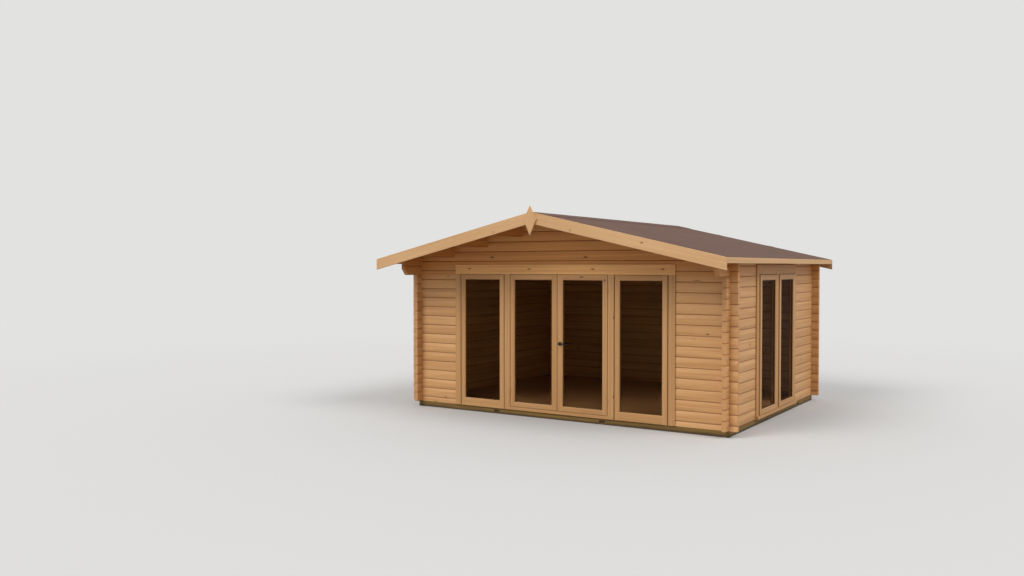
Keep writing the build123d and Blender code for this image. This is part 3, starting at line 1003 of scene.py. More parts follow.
    def darker_foot(self, g: Graph, colour: Socket) -> Socket:
        """Darker timber towards the ground, with an uneven edge.

        Args:
            g: The material's graph.
            colour: The colour so far.

        Returns:
            The colour.
        """
        stain, where = self.stain, g.object_place()
        uneven = g.noise(where, stain.dark_foot_edge_scale, 3.0).outputs["Fac"]
        uneven = g.math("MULTIPLY_ADD", uneven, stain.dark_foot_edge_wander, -stain.dark_foot_edge_wander / 2)
        height = g.math("ADD", g.split(where)[2], uneven)
        low_down = g.band(height, self.dark_foot_height, self.dark_foot_height * stain.dark_foot_full)
        return g.shaded(low_down, stain.dark_foot_share, colour, stain.dark_foot_colour)


@dataclass(frozen=True)
class FeltFinish:
    """Mineral surfaced roofing felt: fine granules over large patches of wear."""

    pale: Colour = srgb(109, 83, 71)
    deep: Colour = srgb(78, 56, 46)
    grit_scale: float = 420.0
    grit_band: Pair = (0.35, 0.65)
    grit_share: float = 0.55
    patch_scale: float = 1.7
    patch_share: float = 0.5
    rough: float = 0.82
    grit_rough: float = 0.12
    specular: float = 0.2
    relief: Pair = (0.5, 0.0012)

    def build(self) -> Material:
        """Make the material.

        Returns:
            The material.
        """
        material, g, shader = plain_material("roof_felt_finish")
        where = g.object_place()
        grit = g.noise(where, self.grit_scale, 2.0, 0.7).outputs["Fac"]
        patch = g.noise(where, self.patch_scale, 4.0, 0.6).outputs["Fac"]
        worn = g.math("MULTIPLY", patch, self.patch_share)
        share = g.math("MULTIPLY_ADD", g.band(grit, *self.grit_band), self.grit_share, worn)
        g.feed(shader.inputs["Base Color"], g.mix(share, self.pale, self.deep))
        g.feed(shader.inputs["Roughness"], g.math("MULTIPLY_ADD", grit, self.grit_rough, self.rough))
        shader.inputs["Specular IOR Level"].default_value = self.specular
        add_bump(g, shader, grit, *self.relief)
        return material


@dataclass(frozen=True)
class GlassFinish:
    """Window glass with a slight brown tint, a little uneven and dull in places."""

    tint: Colour = srgb(217, 211, 198)
    deep_tint: Colour = srgb(202, 195, 182)
    refraction: float = 1.02
    uneven_scale: float = 0.9
    uneven_share: float = 0.25
    dull_scale: float = 5.0
    dull_band: tuple[float, ...] = (0.5, 0.8, 0.0, 0.02)
    relief: Pair = (0.05, 0.002)

    def build(self) -> Material:
        """Make the material.

        Returns:
            The material.
        """
        material, g, shader = plain_material("window_glass")
        for label, value in (("Transmission Weight", 1.0), ("IOR", self.refraction), ("Metallic", 0.0)):
            shader.inputs[label].default_value = value
        where = g.object_place()
        uneven = g.noise(where, self.uneven_scale, 2.0).outputs["Fac"]
        tint = g.shaded(uneven, self.uneven_share, self.tint, self.deep_tint)
        g.feed(shader.inputs["Base Color"], tint)
        dull = g.noise(where, self.dull_scale, 3.0).outputs["Fac"]
        g.feed(shader.inputs["Roughness"], g.band(dull, *self.dull_band))
        add_bump(g, shader, uneven, *self.relief)
        return material


@dataclass(frozen=True)
class MetalFinish:
    """Painted or plated metal, or rubber, with fine grit and rubbed places."""

    name: str
    colour: Colour
    worn: Colour
    metallic: float
    rough: float
    grit_scale: float = 900.0
    grit_rough: float = 0.2
    rub_scale: float = 60.0
    rub_band: Pair = (0.62, 0.75)
    rub_share: float = 0.5
    relief: Pair = (0.25, 0.0002)

    def build(self) -> Material:
        """Make the material.

        Returns:
            The material.
        """
        material, g, shader = plain_material(self.name)
        where = g.object_place()
        grit = g.noise(where, self.grit_scale, 2.0).outputs["Fac"]
        rub = g.band(g.noise(where, self.rub_scale, 3.0).outputs["Fac"], *self.rub_band)
        g.feed(shader.inputs["Base Color"], g.shaded(rub, self.rub_share, self.colour, self.worn))
        smoothest = self.rough - self.grit_rough / 2
        g.feed(shader.inputs["Roughness"], g.math("MULTIPLY_ADD", grit, self.grit_rough, smoothest))
        shader.inputs["Metallic"].default_value = self.metallic
        add_bump(g, shader, grit, *self.relief)
        return material


LOGS = TimberFinish(
    "log_timber",
    srgb(211, 161, 106),
    srgb(181, 128, 75),
    srgb(184, 132, 85),
    # Dirt with painted shade in the V between courses.
    joint=0.067,
    # Painted shade under the eaves.
    eave_shade=1.0,
    knots=(
        Knot((-1.070, -1.7165, 2.211), 0.030, 0.013),
        Knot((0.424, -1.7165, 2.204), 0.030, 0.013),
        Knot((2.395, -1.775, 2.085), 0.022, 0.010),
        Knot((2.120, -1.7165, 1.249), 0.020, 0.009),
        Knot((1.973, -1.7165, 1.905), 0.050, 0.004),
        Knot((-1.850, -1.7165, 1.938), 0.020, 0.008),
        Knot((2.395, 1.440, 0.694), 0.018, 0.009),
    ),
)
BOARDS = TimberFinish(
    "trim_timber",
    srgb(209, 167, 118),
    srgb(184, 139, 89),
    srgb(186, 136, 88),
    tone=0.1,
    knots=(Knot((1.558, -2.4215, 2.364), 0.018, 0.009),),
)
JOINERY = TimberFinish(
    "joinery_timber",
    srgb(194, 147, 94),
    srgb(168, 120, 69),
    srgb(176, 126, 78),
    ring_width=0.0035,
    knot_share=0.012,
    # Painted shade beside the gaps at the leaves' meeting edges, the leaves' outer edges and the posts.
    gaps=(0.0025, 0.755, 0.760),
    knots=(
        Knot((0.374, -1.7345, 1.939), 0.028, 0.009),
        Knot((0.846, -1.7345, 1.415), 0.008, 0.018),
        Knot((0.848, -1.7345, 0.385), 0.008, 0.018),
        # The next two are dark spots at the upper far corners of the side window's sashes.
        Knot((2.413, 0.112, 1.986), 0.014, 0.012),
        Knot((2.413, 0.995, 1.981), 0.014, 0.012),
    ),
)
# The joinery made lighter and warmer: painted light that offsets the roof's shade on the front header board.
HEADER_PAINTED_LIGHT = replace(
    JOINERY,
    name="header_timber",
    pale=srgb(232, 174, 106),
    deep=srgb(204, 144, 80),
    gaps=(),
    knots=(
        Knot((-1.450, -1.7345, 2.049), 0.026, 0.009),
        Knot((-0.444, -1.7345, 2.046), 0.026, 0.008),
        Knot((0.539, -1.7345, 2.045), 0.026, 0.009),
        Knot((1.530, -1.7345, 2.046), 0.026, 0.009),
    ),
)
FRAME_RAILS = replace(JOINERY, name="frame_rail_timber", gaps=())
# The joinery with painted shade under the eaves, for the side window's header.
SIDE_HEADER_EAVE_SHADED = replace(JOINERY, name="side_header_timber", eave_shade=1.0, gaps=())
ROOF_TIMBER = TimberFinish("roof_board_timber", srgb(196, 150, 106), srgb(162, 116, 74), srgb(160, 112, 70))
FLOOR_TIMBER = TimberFinish("floor_board_timber", srgb(198, 156, 114), srgb(168, 124, 84), srgb(160, 112, 70))
TREATED = TimberFinish(
    "treated_timber_finish",
    srgb(134, 104, 46),
    srgb(92, 66, 24),
    srgb(90, 66, 26),
    rough=0.75,
    bump=0.8,
    knot_share=0.2,
    # Darker towards the ground, up to this height.
    dark_foot_height=0.04,
    # Painted shade inside the bearers' slots.
    slots=(
        ShadedSlot((-0.996, -1.7058, 0.040), (0.044, 0.0062, 0.0145)),
        ShadedSlot((0.673, -1.7058, 0.040), (0.044, 0.0062, 0.0145)),
        ShadedSlot((2.3843, 1.2845, 0.040), (0.0062, 0.044, 0.0145)),
    ),
)
BLACK_PAINT = MetalFinish("black_paint", srgb(26, 16, 12), srgb(52, 40, 34), 0.3, 0.45)
HINGE_STEEL = MetalFinish("brassed_steel", srgb(172, 126, 82), srgb(140, 98, 62), 0.2, 0.5)
SCREW_STEEL = MetalFinish("screw_steel", srgb(150, 112, 74), srgb(112, 82, 54), 0.4, 0.45)
ZINC = MetalFinish("dull_zinc", srgb(112, 92, 82), srgb(134, 116, 104), 0.4, 0.6)
RUBBER = MetalFinish("seal_rubber", srgb(72, 44, 24), srgb(90, 60, 36), 0.0, 0.8)


# Log walls


class Run(Enum):
    """Which way a wall's logs run."""

    ACROSS = "x"
    DEEP = "y"


@dataclass
class LogWalls:
    """All log walls: tongued and grooved logs, lapped by half at the corners."""

    sizes: CabinSizes
    material: Material
    rng: np.random.Generator
    groove: float = 0.007
    arris: float = 0.0015
    tongue_width: float = 0.012
    tongue_height: float = 0.008
    tongue_taper: float = 0.002
    play: float = 0.0006
    end_ease: float = 0.003
    corbel_reach: float = 0.400
    corbel_cut: Pair = (0.075, 0.092)
    opening_courses: float = 14.5
    most_courses: int = 40

    @property
    def head(self) -> float:
        """Height of the openings' heads."""
        return self.sizes.base + self.opening_courses * self.sizes.log_height

    @property
    def foot(self) -> float:
        """Height of the joint under the corbels."""
        return self.sizes.side_top - self.sizes.corbel_courses * self.sizes.log_height

    def section(self, fold: float | None = None) -> tuple[np.ndarray, tuple[int, int] | None]:
        """Section of a log: V edges with a soft arris, two tongues on top, two grooves below.

        Args:
            fold: Height over the log's middle of a point more on both faces, or None.

        Returns:
            The section, and the places of the two extra points.
        """
        half = self.sizes.log_height / 2 - self.play / 2
        thick = self.sizes.log_thick / 2
        v, soft = self.groove, self.arris
        side = [(half, thick - v), (half - v + soft, thick - soft), (half - v - soft, thick)]
        tongues = []
        for centre in (thick / 2, -thick / 2):
            w = self.tongue_width / 2
            tongues += [(0.0, centre + w), (self.tongue_height, centre + w - self.tongue_taper)]
            tongues += [(self.tongue_height, centre - w + self.tongue_taper), (0.0, centre - w)]
        top = [(half + rise, depth) for rise, depth in tongues]
        under = [(-half + rise, depth) for rise, depth in tongues[::-1]]
        extra = [] if fold is None else [fold]
        outer = [(-a, d) for a, d in side] + [(f, thick) for f in extra] + side[::-1]
        inner = [(a, -d) for a, d in side] + [(f, -thick) for f in extra]
        inner += [(-a, -d) for a, d in side[::-1]]
        places = (len(side), len(outer) + len(top) + len(side)) if extra else None
        return np.array(outer + top + inner + under), places

    def stations(self, start: float, stop: float, crossings: list[float]) -> list[Station]:
        """Places along a log: eased ends, and half its height where it crosses another.

        Args:
            start: Where the log starts.
            stop: Where it stops.
            crossings: Middles of the walls that it crosses.

        Returns:
            The stations.
        """
        lap, half = self.sizes.log_height / 4, self.sizes.log_thick / 2
        ends = eased_ends(start, stop, self.end_ease)
        places = ends[:2]
        for middle in crossings:
            if start < middle < stop:
                places += [Station(middle - half), Station(middle - half, 0.0, lap)]
                places += [Station(middle + half, 0.0, lap), Station(middle + half)]
        return places + ends[2:]

    def log(
        self,
        run: Run,
        face: float,
        inward: int,
        ends: Pair,
        centre: float,
        limits: Pair,
        cut: bool = False,
    ) -> Surface:
        """One log, cut off at its wall's limits and at the roof, which leaves no notch in a log it cuts.

        Args:
            run: Which way it runs.
            face: Place of the wall's outer face.
            inward: 1 or -1, from the outer face to the inner one.
            ends: Where it starts and stops.
            centre: Height of its middle.
            limits: Lowest and highest height that this wall gives it.
            cut: Whether the foot of its front end is cut off at a slant.

        Returns:
            The log's surface.
        """
        s = self.sizes
        middle = face + inward * s.log_thick / 2
        if run is Run.ACROSS:
            axes = Axes((0.0, middle, centre), (1, 0, 0), (0, 0, 1), (0, -inward, 0))
            crossings = [-s.side_face + s.log_thick / 2, s.side_face - s.log_thick / 2]
            if centre + s.log_height / 2 > s.roof_height(s.side_face):
                crossings = []
        else:
            axes = Axes((middle, 0.0, centre), (0, 1, 0), (0, 0, 1), (-inward, 0, 0))
            crossings = [s.front_face + s.log_thick / 2, s.back_face - s.log_thick / 2]

        def trim(u: np.ndarray, a: np.ndarray, d: np.ndarray) -> Coords:
            """Keep the log under the roof, within its wall's limits and behind its slanted end.

            Args:
                u: Places along the log.
                a: Places across its face.
                d: Places through it.

            Returns:
                The three, moved back where they stand past a limit.
            """
            a = np.clip(a, limits[0] - centre, limits[1] - centre)
            if run is Run.ACROSS:
                reach = s.roof_reach(centre + a)
                return np.clip(u, -reach, reach), a, d
            a = np.minimum(a, s.roof_height(middle - inward * d) - centre)
            if cut:
                length, height = self.corbel_cut
                share = 1.0 - (a + s.log_height / 2) / height
                u = np.maximum(u, ends[0] + length * np.maximum(share, 0.0))
            return u, a, d

        section, fold = self.section(self.corbel_cut[1] - s.log_height / 2 if cut else None)
        places = self.stations(*ends, crossings)
        return timber(section, places, axes, *draw_grain(self.rng), trim, fold)

    def courses(self, run: Run, low: float, high: float) -> list[float]:
        """Heights of the middles of the courses that reach between two heights.

        Args:
            run: Which way the logs run.
            low: Lower height.
            high: Upper height.

        Returns:
            The heights, from below.
        """
        s = self.sizes
        first = s.base + (s.log_height / 2 if run is Run.DEEP else 0.0)
        middles = first + np.arange(0, self.most_courses) * s.log_height
        half = s.log_height / 2 - MERGE
        return [float(m) for m in middles if m + half > low and m - half < high]

    def stand(self, name: str, logs: list[Surface]) -> None:
        """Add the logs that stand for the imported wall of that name."""
        add_piece(f"{name}_logs", together(logs), self.material, stands_for=(name,))

    def wall(self, name: str, run: Run, face: float, inward: int, ends: Pair, heights: Pair) -> None:
        """A stack of logs.

        Args:
            name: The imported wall.
            run: Which way its logs run.
            face: Place of its outer face.
            inward: 1 or -1, from the outer face to the inner one.
            ends: Where it starts and stops.
            heights: Its foot and its top.
        """
        courses = self.courses(run, *heights)
        self.stand(name, [self.log(run, face, inward, ends, middle, heights) for middle in courses])

    def corbels(self, name: str, side: int, notch: Pair | None) -> None:
        """The two top side courses, whose front ends run on and are cut at a slant.

        Args:
            name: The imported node.
            side: -1 for the left wall, 1 for the right one.
            notch: Where a window cuts into the lower course from below, or None.
        """
        s = self.sizes
        ends = (s.front_face - self.corbel_reach, s.back_face + s.log_end)
        logs = []
        for middle in self.courses(Run.DEEP, self.foot, s.side_top):
            lower = middle < self.foot + s.log_height
            stretches = [(ends, (self.foot, FAR), lower)]
            if lower and notch:
                stretches = [
                    (ends, (self.head, s.side_top), True),
                    ((ends[0], notch[0]), (self.foot, self.head), True),
                    ((notch[1], ends[1]), (self.foot, self.head), False),
                ]
            for stretch, limits, cut in stretches:
                logs.append(self.log(Run.DEEP, side * s.side_face, -side, stretch, middle, limits, cut))
        self.stand(name, logs)

    def build(self) -> None:
        """Make every wall."""
        s = self.sizes
        reach = s.side_face + s.log_end
        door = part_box("front_wall_right")[0].x
        low, high = s.front_face - s.log_end, s.back_face + s.log_end
        window = (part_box("right_wall_front")[1].y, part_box("right_wall_back")[0].y)
        for name, face, inward, ends, heights in (
            ("front_wall_left", s.front_face, 1, (-reach, -door), (s.base, self.head)),
            ("front_wall_right", s.front_face, 1, (door, reach), (s.base, self.head)),
            ("front_gable", s.front_face, 1, (-reach, reach), (self.head, s.ridge)),
            ("back_wall", s.back_face, -1, (-reach, reach), (s.base, s.ridge)),
        ):
            self.wall(name, Run.ACROSS, face, inward, ends, heights)
        for name, side, ends in (
            ("left_wall", -1, (low, high)),
            ("right_wall_front", 1, (low, window[0])),
            ("right_wall_back", 1, (window[1], high)),
        ):
            self.wall(name, Run.DEEP, side * s.side_face, -side, ends, (s.base, self.foot))
        self.corbels("left_corbel_logs", -1, None)
        self.corbels("right_corbel_logs", 1, window)


# Roof


@dataclass(frozen=True)
class Ripple:
    """A wave in the felt: its height, and its turns along the ridge and down the slope."""

    height: float
    along: float
    down: float

    def lift(self, along: np.ndarray, down: np.ndarray, turn: float = 0.0) -> np.ndarray:
        """Its height times the sine of both places times their turns, and of a turn more."""
        return self.height * np.sin(along * self.along + down * self.down + turn)


@dataclass
class Roof:
    """Purlins, roof boards and felt."""

    sizes: CabinSizes
    rng: np.random.Generator
    log_timber: Material
    board_timber: Material
    felt: Material
    purlins_per_side: int = 3
    purlin_thick: float = 0.058
    purlin_height: float = 0.134
    purlin_edge: float = 0.005
    purlin_ease: float = 0.003
    board_width: float = 0.1117
    board_thick: float = 0.019
    board_groove: float = 0.003
    board_play: float = 0.0004
    felt_thick: float = 0.003
    felt_width: float = 1.0
    felt_lap: float = 0.08
    felt_step: float = 0.03
    felt_edge: float = 0.02
    felt_thinning: float = 0.7
    felt_rows: int = 27
    felt_places: int = 49
    cap_fold: float = 0.012
    cap_edge: float = 0.001
    cap_rows: int = 41
    long_ripple: Ripple = Ripple(0.0006, 7.3, 3.1)
    cross_ripple: Ripple = Ripple(0.0004, 2.9, -5.7)
    cap_ripple: Ripple = Ripple(0.0005, 6.1, 9.0)

    def purlin(self, x: float, ends: Pair) -> Surface:
        """A purlin whose top is planed to the roof.

        Args:
            x: Its middle across the cabin.
            ends: Where it starts and stops.

        Returns:
            The purlin.
        """
        s = self.sizes
        middle = float(s.roof_height(np.array(x))) - self.purlin_height / 2
        height = self.purlin_height + self.purlin_thick * s.slope
        section = rounded_section(height, self.purlin_thick, self.purlin_edge)
        section = section + np.array([self.purlin_thick * s.slope / 2, 0.0])
        axes = Axes((x, 0.0, middle), (0, 1, 0), (0, 0, 1), (1, 0, 0))

        def trim(u: np.ndarray, a: np.ndarray, d: np.ndarray) -> Coords:
            """Keep the top under the roof boards."""
            return u, np.minimum(a, s.roof_height(x + d) - middle), d

        return timber(section, eased_ends(*ends, self.purlin_ease), axes, *draw_grain(self.rng), trim)

    def purlins(self) -> None:
        """The ridge purlin and those of the slopes, spread evenly to the side walls."""
        s = self.sizes
        bay = (s.side_face - s.log_thick / 2) / (self.purlins_per_side + 1)
        low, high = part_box("ridge_purlin")
        steps = range(1, self.purlins_per_side + 1)
        for name, places in (
            ("ridge_purlin", [0.0]),
            ("purlins_left", [-bay * i for i in steps]),
            ("purlins_right", [bay * i for i in steps]),
        ):
            surface = together([self.purlin(x, (low.y, high.y)) for x in places])
            add_piece(f"{name}_timber", surface, self.log_timber, stands_for=(name,))

    def slope_axes(self, side: int, y: float) -> Axes:
        """Directions on a slope: down it, towards the back, and out of it.

        Args:
            side: -1 for the left slope, 1 for the right one.
            y: Place of the zero point along the ridge.

        Returns:
            The directions.
        """
        c, t = math.cos(self.sizes.pitch), math.sin(self.sizes.pitch)
        return Axes((0.0, y, self.sizes.ridge), (side * c, 0, -t), (0, 1, 0), (side * t, 0, c))

    def boards(self, side: int, name: str) -> None:
        """Boards laid down the slope, side by side, with a V between them underneath.

        Args:
            side: -1 for the left slope, 1 for the right one.
            name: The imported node.
        """
        low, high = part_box(name)
        length = (high.x - low.x) / math.cos(self.sizes.pitch)
        count = round((high.y - low.y) / self.board_width)
        width = (high.y - low.y) / count
        half, v, thick = width / 2 - self.board_play, self.board_groove, self.board_thick
        under = [(-half, v), (-half + v, 0.0), (half - v, 0.0), (half, v)]
        section = np.array(under + [(half, thick), (-half, thick)])

        def trim(u: np.ndarray, a: np.ndarray, d: np.ndarray) -> Coords:
            """Cut both ends plumb: the place along the board less its height times the slope."""
            return u - d * self.sizes.slope, a, d

        parts = []
        for i in range(count):
            axes = self.slope_axes(side, low.y + width * (i + 0.5))
            ends = [Station(0.0), Station(length)]
            parts.append(timber(section, ends, axes, *draw_grain(self.rng), trim))
        add_piece(f"{name}_laid", together(parts), self.board_timber, stands_for=(name,))

    def felt_strip(self, side: int, start: float, stop: float, ends: Pair, lapped: bool) -> Surface:
        """A strip of felt between two distances down the slope.

        Its lower edge rides up over the strip below by one thickness, with a smooth step,
        and thins out there, and its face ripples by sines of the place along and down.

        Args:
            side: -1 for the left slope, 1 for the right one.
            start: Distance down the slope of its upper edge.
            stop: Distance down the slope of its lower edge.
            ends: Where it starts and stops along the ridge.
            lapped: Whether a strip lies below it.

        Returns:
            The strip.
        """
        down = np.append(np.linspace(start, stop - self.felt_edge, self.felt_rows), stop)
        rise, thin = np.zeros_like(down), np.zeros_like(down)
        if lapped:
            step_start = stop - self.felt_lap - self.felt_step
            share = np.clip((down - step_start) / self.felt_step, 0.0, 1.0)
            rise = self.felt_thick * share * share * (3 - 2 * share)
            thin = np.clip((down - (stop - self.felt_edge)) / self.felt_edge, 0.0, 1.0)
        base = self.board_thick + rise
        top = base + self.felt_thick * (1.0 - self.felt_thinning * thin)
        section = np.concatenate([np.stack([down, base], -1), np.stack([down, top], -1)[::-1]])
        along = np.linspace(*ends, self.felt_places)[:, None]
        place, out = section[None, :, 0], section[None, :, 1]
        ripple = self.long_ripple.lift(along, place) + self.cross_ripple.lift(along, place, side)
        out = out + np.abs(ripple)
        slide = place - out * self.sizes.slope
        local = np.stack([slide, along + 0 * out, out], axis=-1)
        return bare_tube(self.slope_axes(side, 0.0).world(local))

    def felts(self, side: int, name: str) -> None:
        """Strips of felt from the eave up, each over the one below.

        Args:
            side: -1 for the left slope, 1 for the right one.
            name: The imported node.
        """
        low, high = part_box(name)
        parts, stop = [], (high.x - low.x) / math.cos(self.sizes.pitch)
        while stop > 0.0:
            start = max(stop - self.felt_width, 0.0)
            parts.append(self.felt_strip(side, start, stop, (low.y, high.y), bool(parts)))
            stop = start + self.felt_lap if start > 0 else 0.0
        add_piece(f"{name}_strips", together(parts), self.felt, stands_for=(name,))

    def cap(self) -> None:
        """The strip folded over the ridge, which thins towards its two edges.

        Its underside lies on the felt: the ridge less the slope times the distance, rounded
        at the fold by the root of the distance squared and a small radius squared.
        """
        s = self.sizes
        low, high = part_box("felt_ridge_cap")
        across = np.linspace(low.x, high.x, self.cap_rows)
        plumb = 1.0 / math.cos(s.pitch)
        fold = np.sqrt(across**2 + self.cap_fold**2) - self.cap_fold
        under = s.ridge - fold * s.slope + (self.board_thick + self.felt_thick) * plumb
        share = 1.0 - (across / high.x) ** 2
        thick = self.cap_edge + (self.felt_thick - self.cap_edge) * share
        section = np.concatenate([np.stack([across, under], -1), np.stack([across, under + thick], -1)[::-1]])
        along = np.linspace(low.y, high.y, self.felt_places)[:, None]
        place = section[None, :, 0]
        ripple = self.cap_ripple.lift(along, place)
        rows = np.stack([place + 0 * ripple, along + 0 * ripple, section[None, :, 1] + ripple], -1)
        stands_for = ("felt_ridge_cap",)
        add_piece("felt_ridge_cap_folded", bare_tube(rows), self.felt, stands_for=stands_for)

    def build(self) -> None:
        """Make the whole roof."""
        self.purlins()
        self.cap()
        for side, word in ((-1, "left"), (1, "right")):
            self.boards(side, f"roof_boards_{word}")
            self.felts(side, f"felt_{word}")


# Floor


@dataclass
class Floor:
    """Boards across the joists, inside the walls."""

    material: Material
    rng: np.random.Generator
    width: float = 0.1145
    play: float = 0.0008
    edge: float = 0.0018
    ease: float = 0.001

    def build(self) -> None:
        """Make the boards."""
        low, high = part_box("floor_boards")
        count = round((high.y - low.y) / self.width)
        width = (high.y - low.y) / count
        thick = high.z - low.z
        section = rounded_section(width - self.play, thick, self.edge, 2)
        places = eased_ends(low.x, high.x, self.ease)
        parts = []
        for i in range(count):
            origin = (0.0, low.y + width * (i + 0.5), low.z + thick / 2)
            axes = Axes(origin, (1, 0, 0), (0, 1, 0), (0, 0, 1))
            parts.append(timber(section, places, axes, *draw_grain(self.rng)))
        add_piece("floor_laid", together(parts), self.material, stands_for=("floor_boards",))


# Doors and windows


class Wall(Enum):
    """The wall that a sash stands in."""

    FRONT = "front"
    RIGHT = "right"


@dataclass(frozen=True)
class SashPlan:
    """Where a sash lies: its wall, its face and back, its edges and its glass opening."""

    wall: Wall
    face: float
    back: float
    edges: Pair
    sight: Pair
    heights: tuple[float, float, float, float]


@dataclass
class Sashes:
    """Glazed sashes and door leaves, each of two stiles and two rails."""

    material: Material
    rubber: Material
    rng: np.random.Generator
    glass_edge: float = 0.010
    lead_bevel: float = 0.003
    bevel: float = 0.008
    ease: float = 0.002
    end_ease: float = 0.0006
    end_play: float = 0.0002
    seal: float = 0.003
    seal_inset: float = 0.4
    groove: float = 0.012
    groove_seal: Pair = (0.011, 0.014)
    seal_depth: float = 0.006
    window_lip: float = 0.014

    def plans(self, name: str, glass: str, wall: Wall) -> list[SashPlan]:
        """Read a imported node's sashes from its box and from the panes in them.

        Args:
            name: The node of the sashes.
            glass: The node of their panes.
            wall: The wall they are in.

        Returns:
            One plan for each pane.
        """
        low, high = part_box(name)
        pane_low, pane_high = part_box(glass)
        axis = 0 if wall is Wall.FRONT else 1
        places = np.unique([round(v.co[axis], 5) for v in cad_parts[glass].data.vertices])
        face, back = (low.y, high.y) if wall is Wall.FRONT else (high.x, low.x)
        heights = (low.z, pane_low.z + self.glass_edge, pane_high.z - self.glass_edge, high.z)
        plans = []
        for start, stop in zip(places[::2] + self.glass_edge, places[1::2] - self.glass_edge):
            first, last = low[axis], high[axis]
            if len(places) > 2 and start == places[0] + self.glass_edge:
                last = stop + (start - first)
            elif len(places) > 2:
                first = start - (last - stop)
            plans.append(SashPlan(wall, face, back, (first, last), (start, stop), heights))
        return plans

    def axes(self, plan: SashPlan, at: float, height: float, upright: bool) -> Axes:
        """Directions of a stile or a rail, with depth out of its wall.

        Args:
            plan: The sash it belongs to.
            at: Its middle along the wall.
            height: Its middle height.
            upright: Whether it is a stile.

        Returns:
            The directions.
        """
        middle, up = (plan.face + plan.back) / 2, (0, 0, 1)
        if plan.wall is Wall.FRONT:
            origin, level, out = (at, middle, height), (1, 0, 0), (0, -1, 0)
        else:
            origin, level, out = (middle, at, height), (0, 1, 0), (1, 0, 0)
        return Axes(origin, up if upright else level, level if upright else up, out)

    def member(self, width: float, thick: float, inner: int, lead: float = 0.0) -> np.ndarray:
        """Section of a stile or rail, eased outside and bevelled towards the glass.

        Args:
            width: Its width.
            thick: Its thickness.
            inner: 1 or -1, the side of the section that the glass is on.
            lead: How far the outer edge falls back towards the room.

        Returns:
            Rows of place across and through.
        """
        half, deep, e, b = width / 2, thick / 2, self.ease, self.bevel
        plain = [(-half + lead, -deep + e), (-half, deep - e), (-half + e, deep)]
        shaped = [(half - b, deep), (half, deep - b), (half, -deep + b), (half - b, -deep)]
        return np.array(plain + shaped + [(-half + lead + e, -deep)]) * np.array([inner, 1])

    def part(self, section: np.ndarray, axes: Axes, half: float) -> Surface:
        """A stile or rail, its ends a hair short.

        Args:
            section: Its section.
            axes: Its directions.
            half: Half its length.

        Returns:
            The member.
        """
        places = eased_ends(-half, half, self.end_ease, self.end_play)
        return timber(section, places, axes, *draw_grain(self.rng))

    def sash(self, plan: SashPlan, lead: int) -> Surface:
        """The four members of a sash.

        Args:
            plan: Where it lies.
            lead: -1 or 1 for the side of a door leaf's meeting edge, or 0.

        Returns:
            The sash.
        """
        (first, last), (left, right) = plan.edges, plan.sight
        foot, floor, crown, head = plan.heights
        thick = abs(plan.back - plan.face)
        parts = []
        for low, high, inner in ((first, left, 1), (right, last, -1)):
            bevel = self.lead_bevel if lead == -inner else 0.0
            section = self.member(high - low, thick, inner, bevel)
            axes = self.axes(plan, (low + high) / 2, (foot + head) / 2, True)
            parts.append(self.part(section, axes, (head - foot) / 2))
        for low, high, inner in ((foot, floor, 1), (crown, head, -1)):
            section = self.member(high - low, thick, inner)
            axes = self.axes(plan, (left + right) / 2, (low + high) / 2, False)
            parts.append(self.part(section, axes, (right - left) / 2 + self.bevel))
        return together(parts)

    def strip(
        self, plan: SashPlan, at: float, height: float, half: float, size: Pair, depth: float
    ) -> Surface:
        """A rubber strip of a width and thickness.

        Args:
            plan: The sash it belongs to.
            at: Its middle along the wall.
            height: Its middle height.
            half: Half its length, upwards, or below zero for one that lies level.
            size: Its width and thickness.
            depth: Its middle out of the sash's middle plane.

        Returns:
            The strip.
        """
        section = rounded_section(*size, min(size) / 5, 2) + np.array([0.0, depth])
        ends, axes = [Station(-abs(half)), Station(abs(half))], self.axes(plan, at, height, half > 0)
        return timber(section, ends, axes, 0.5, 0.0)

    def pane_seals(self, plan: SashPlan, glass: str) -> list[Surface]:
        """Four strips on the sides of a pane's opening, from the pane to the sash's bevel.

        Args:
            plan: The sash.
            glass: The node of its pane.

        Returns:
            The strips.
        """
        low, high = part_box(glass)
        middle = (plan.face + plan.back) / 2
        back = middle - low.y if plan.wall is Wall.FRONT else high.x - middle
        front = abs(plan.face - plan.back) / 2 - self.bevel
        (left, right), (_, floor, crown, _) = plan.sight, plan.heights
        size, depth, inset = (self.seal, front - back), (front + back) / 2, self.seal * self.seal_inset
        across, up = (left + right) / 2, (floor + crown) / 2
        strips = []
        for at in (left + inset, right - inset):
            strips.append(self.strip(plan, at, up, (crown - floor) / 2, size, depth))
        for height in (floor + inset, crown - inset):
            strips.append(self.strip(plan, across, height, (left - right) / 2, size, depth))
        return strips

    def groove_seals(self, plan: SashPlan) -> list[Surface]:
        """Strips in the grooves beside a fixed sash: next to its post, or on both sides in the window.

        Args:
            plan: The sash.

        Returns:
            The strips.
        """
        lip = self.window_lip if plan.wall is Wall.RIGHT else 0.0
        foot, _, _, head = plan.heights
        depth = abs(plan.face - plan.back) / 2 - lip - self.seal_depth - self.groove_seal[1] / 2
        places = [plan.edges[0] - self.groove / 2, plan.edges[1] + self.groove / 2]
        if plan.wall is Wall.FRONT:
            places = [min(places, key=abs)]
        middle, half = (foot + head) / 2, (head - foot) / 2
        return [self.strip(plan, at, middle, half, self.groove_seal, depth) for at in places]

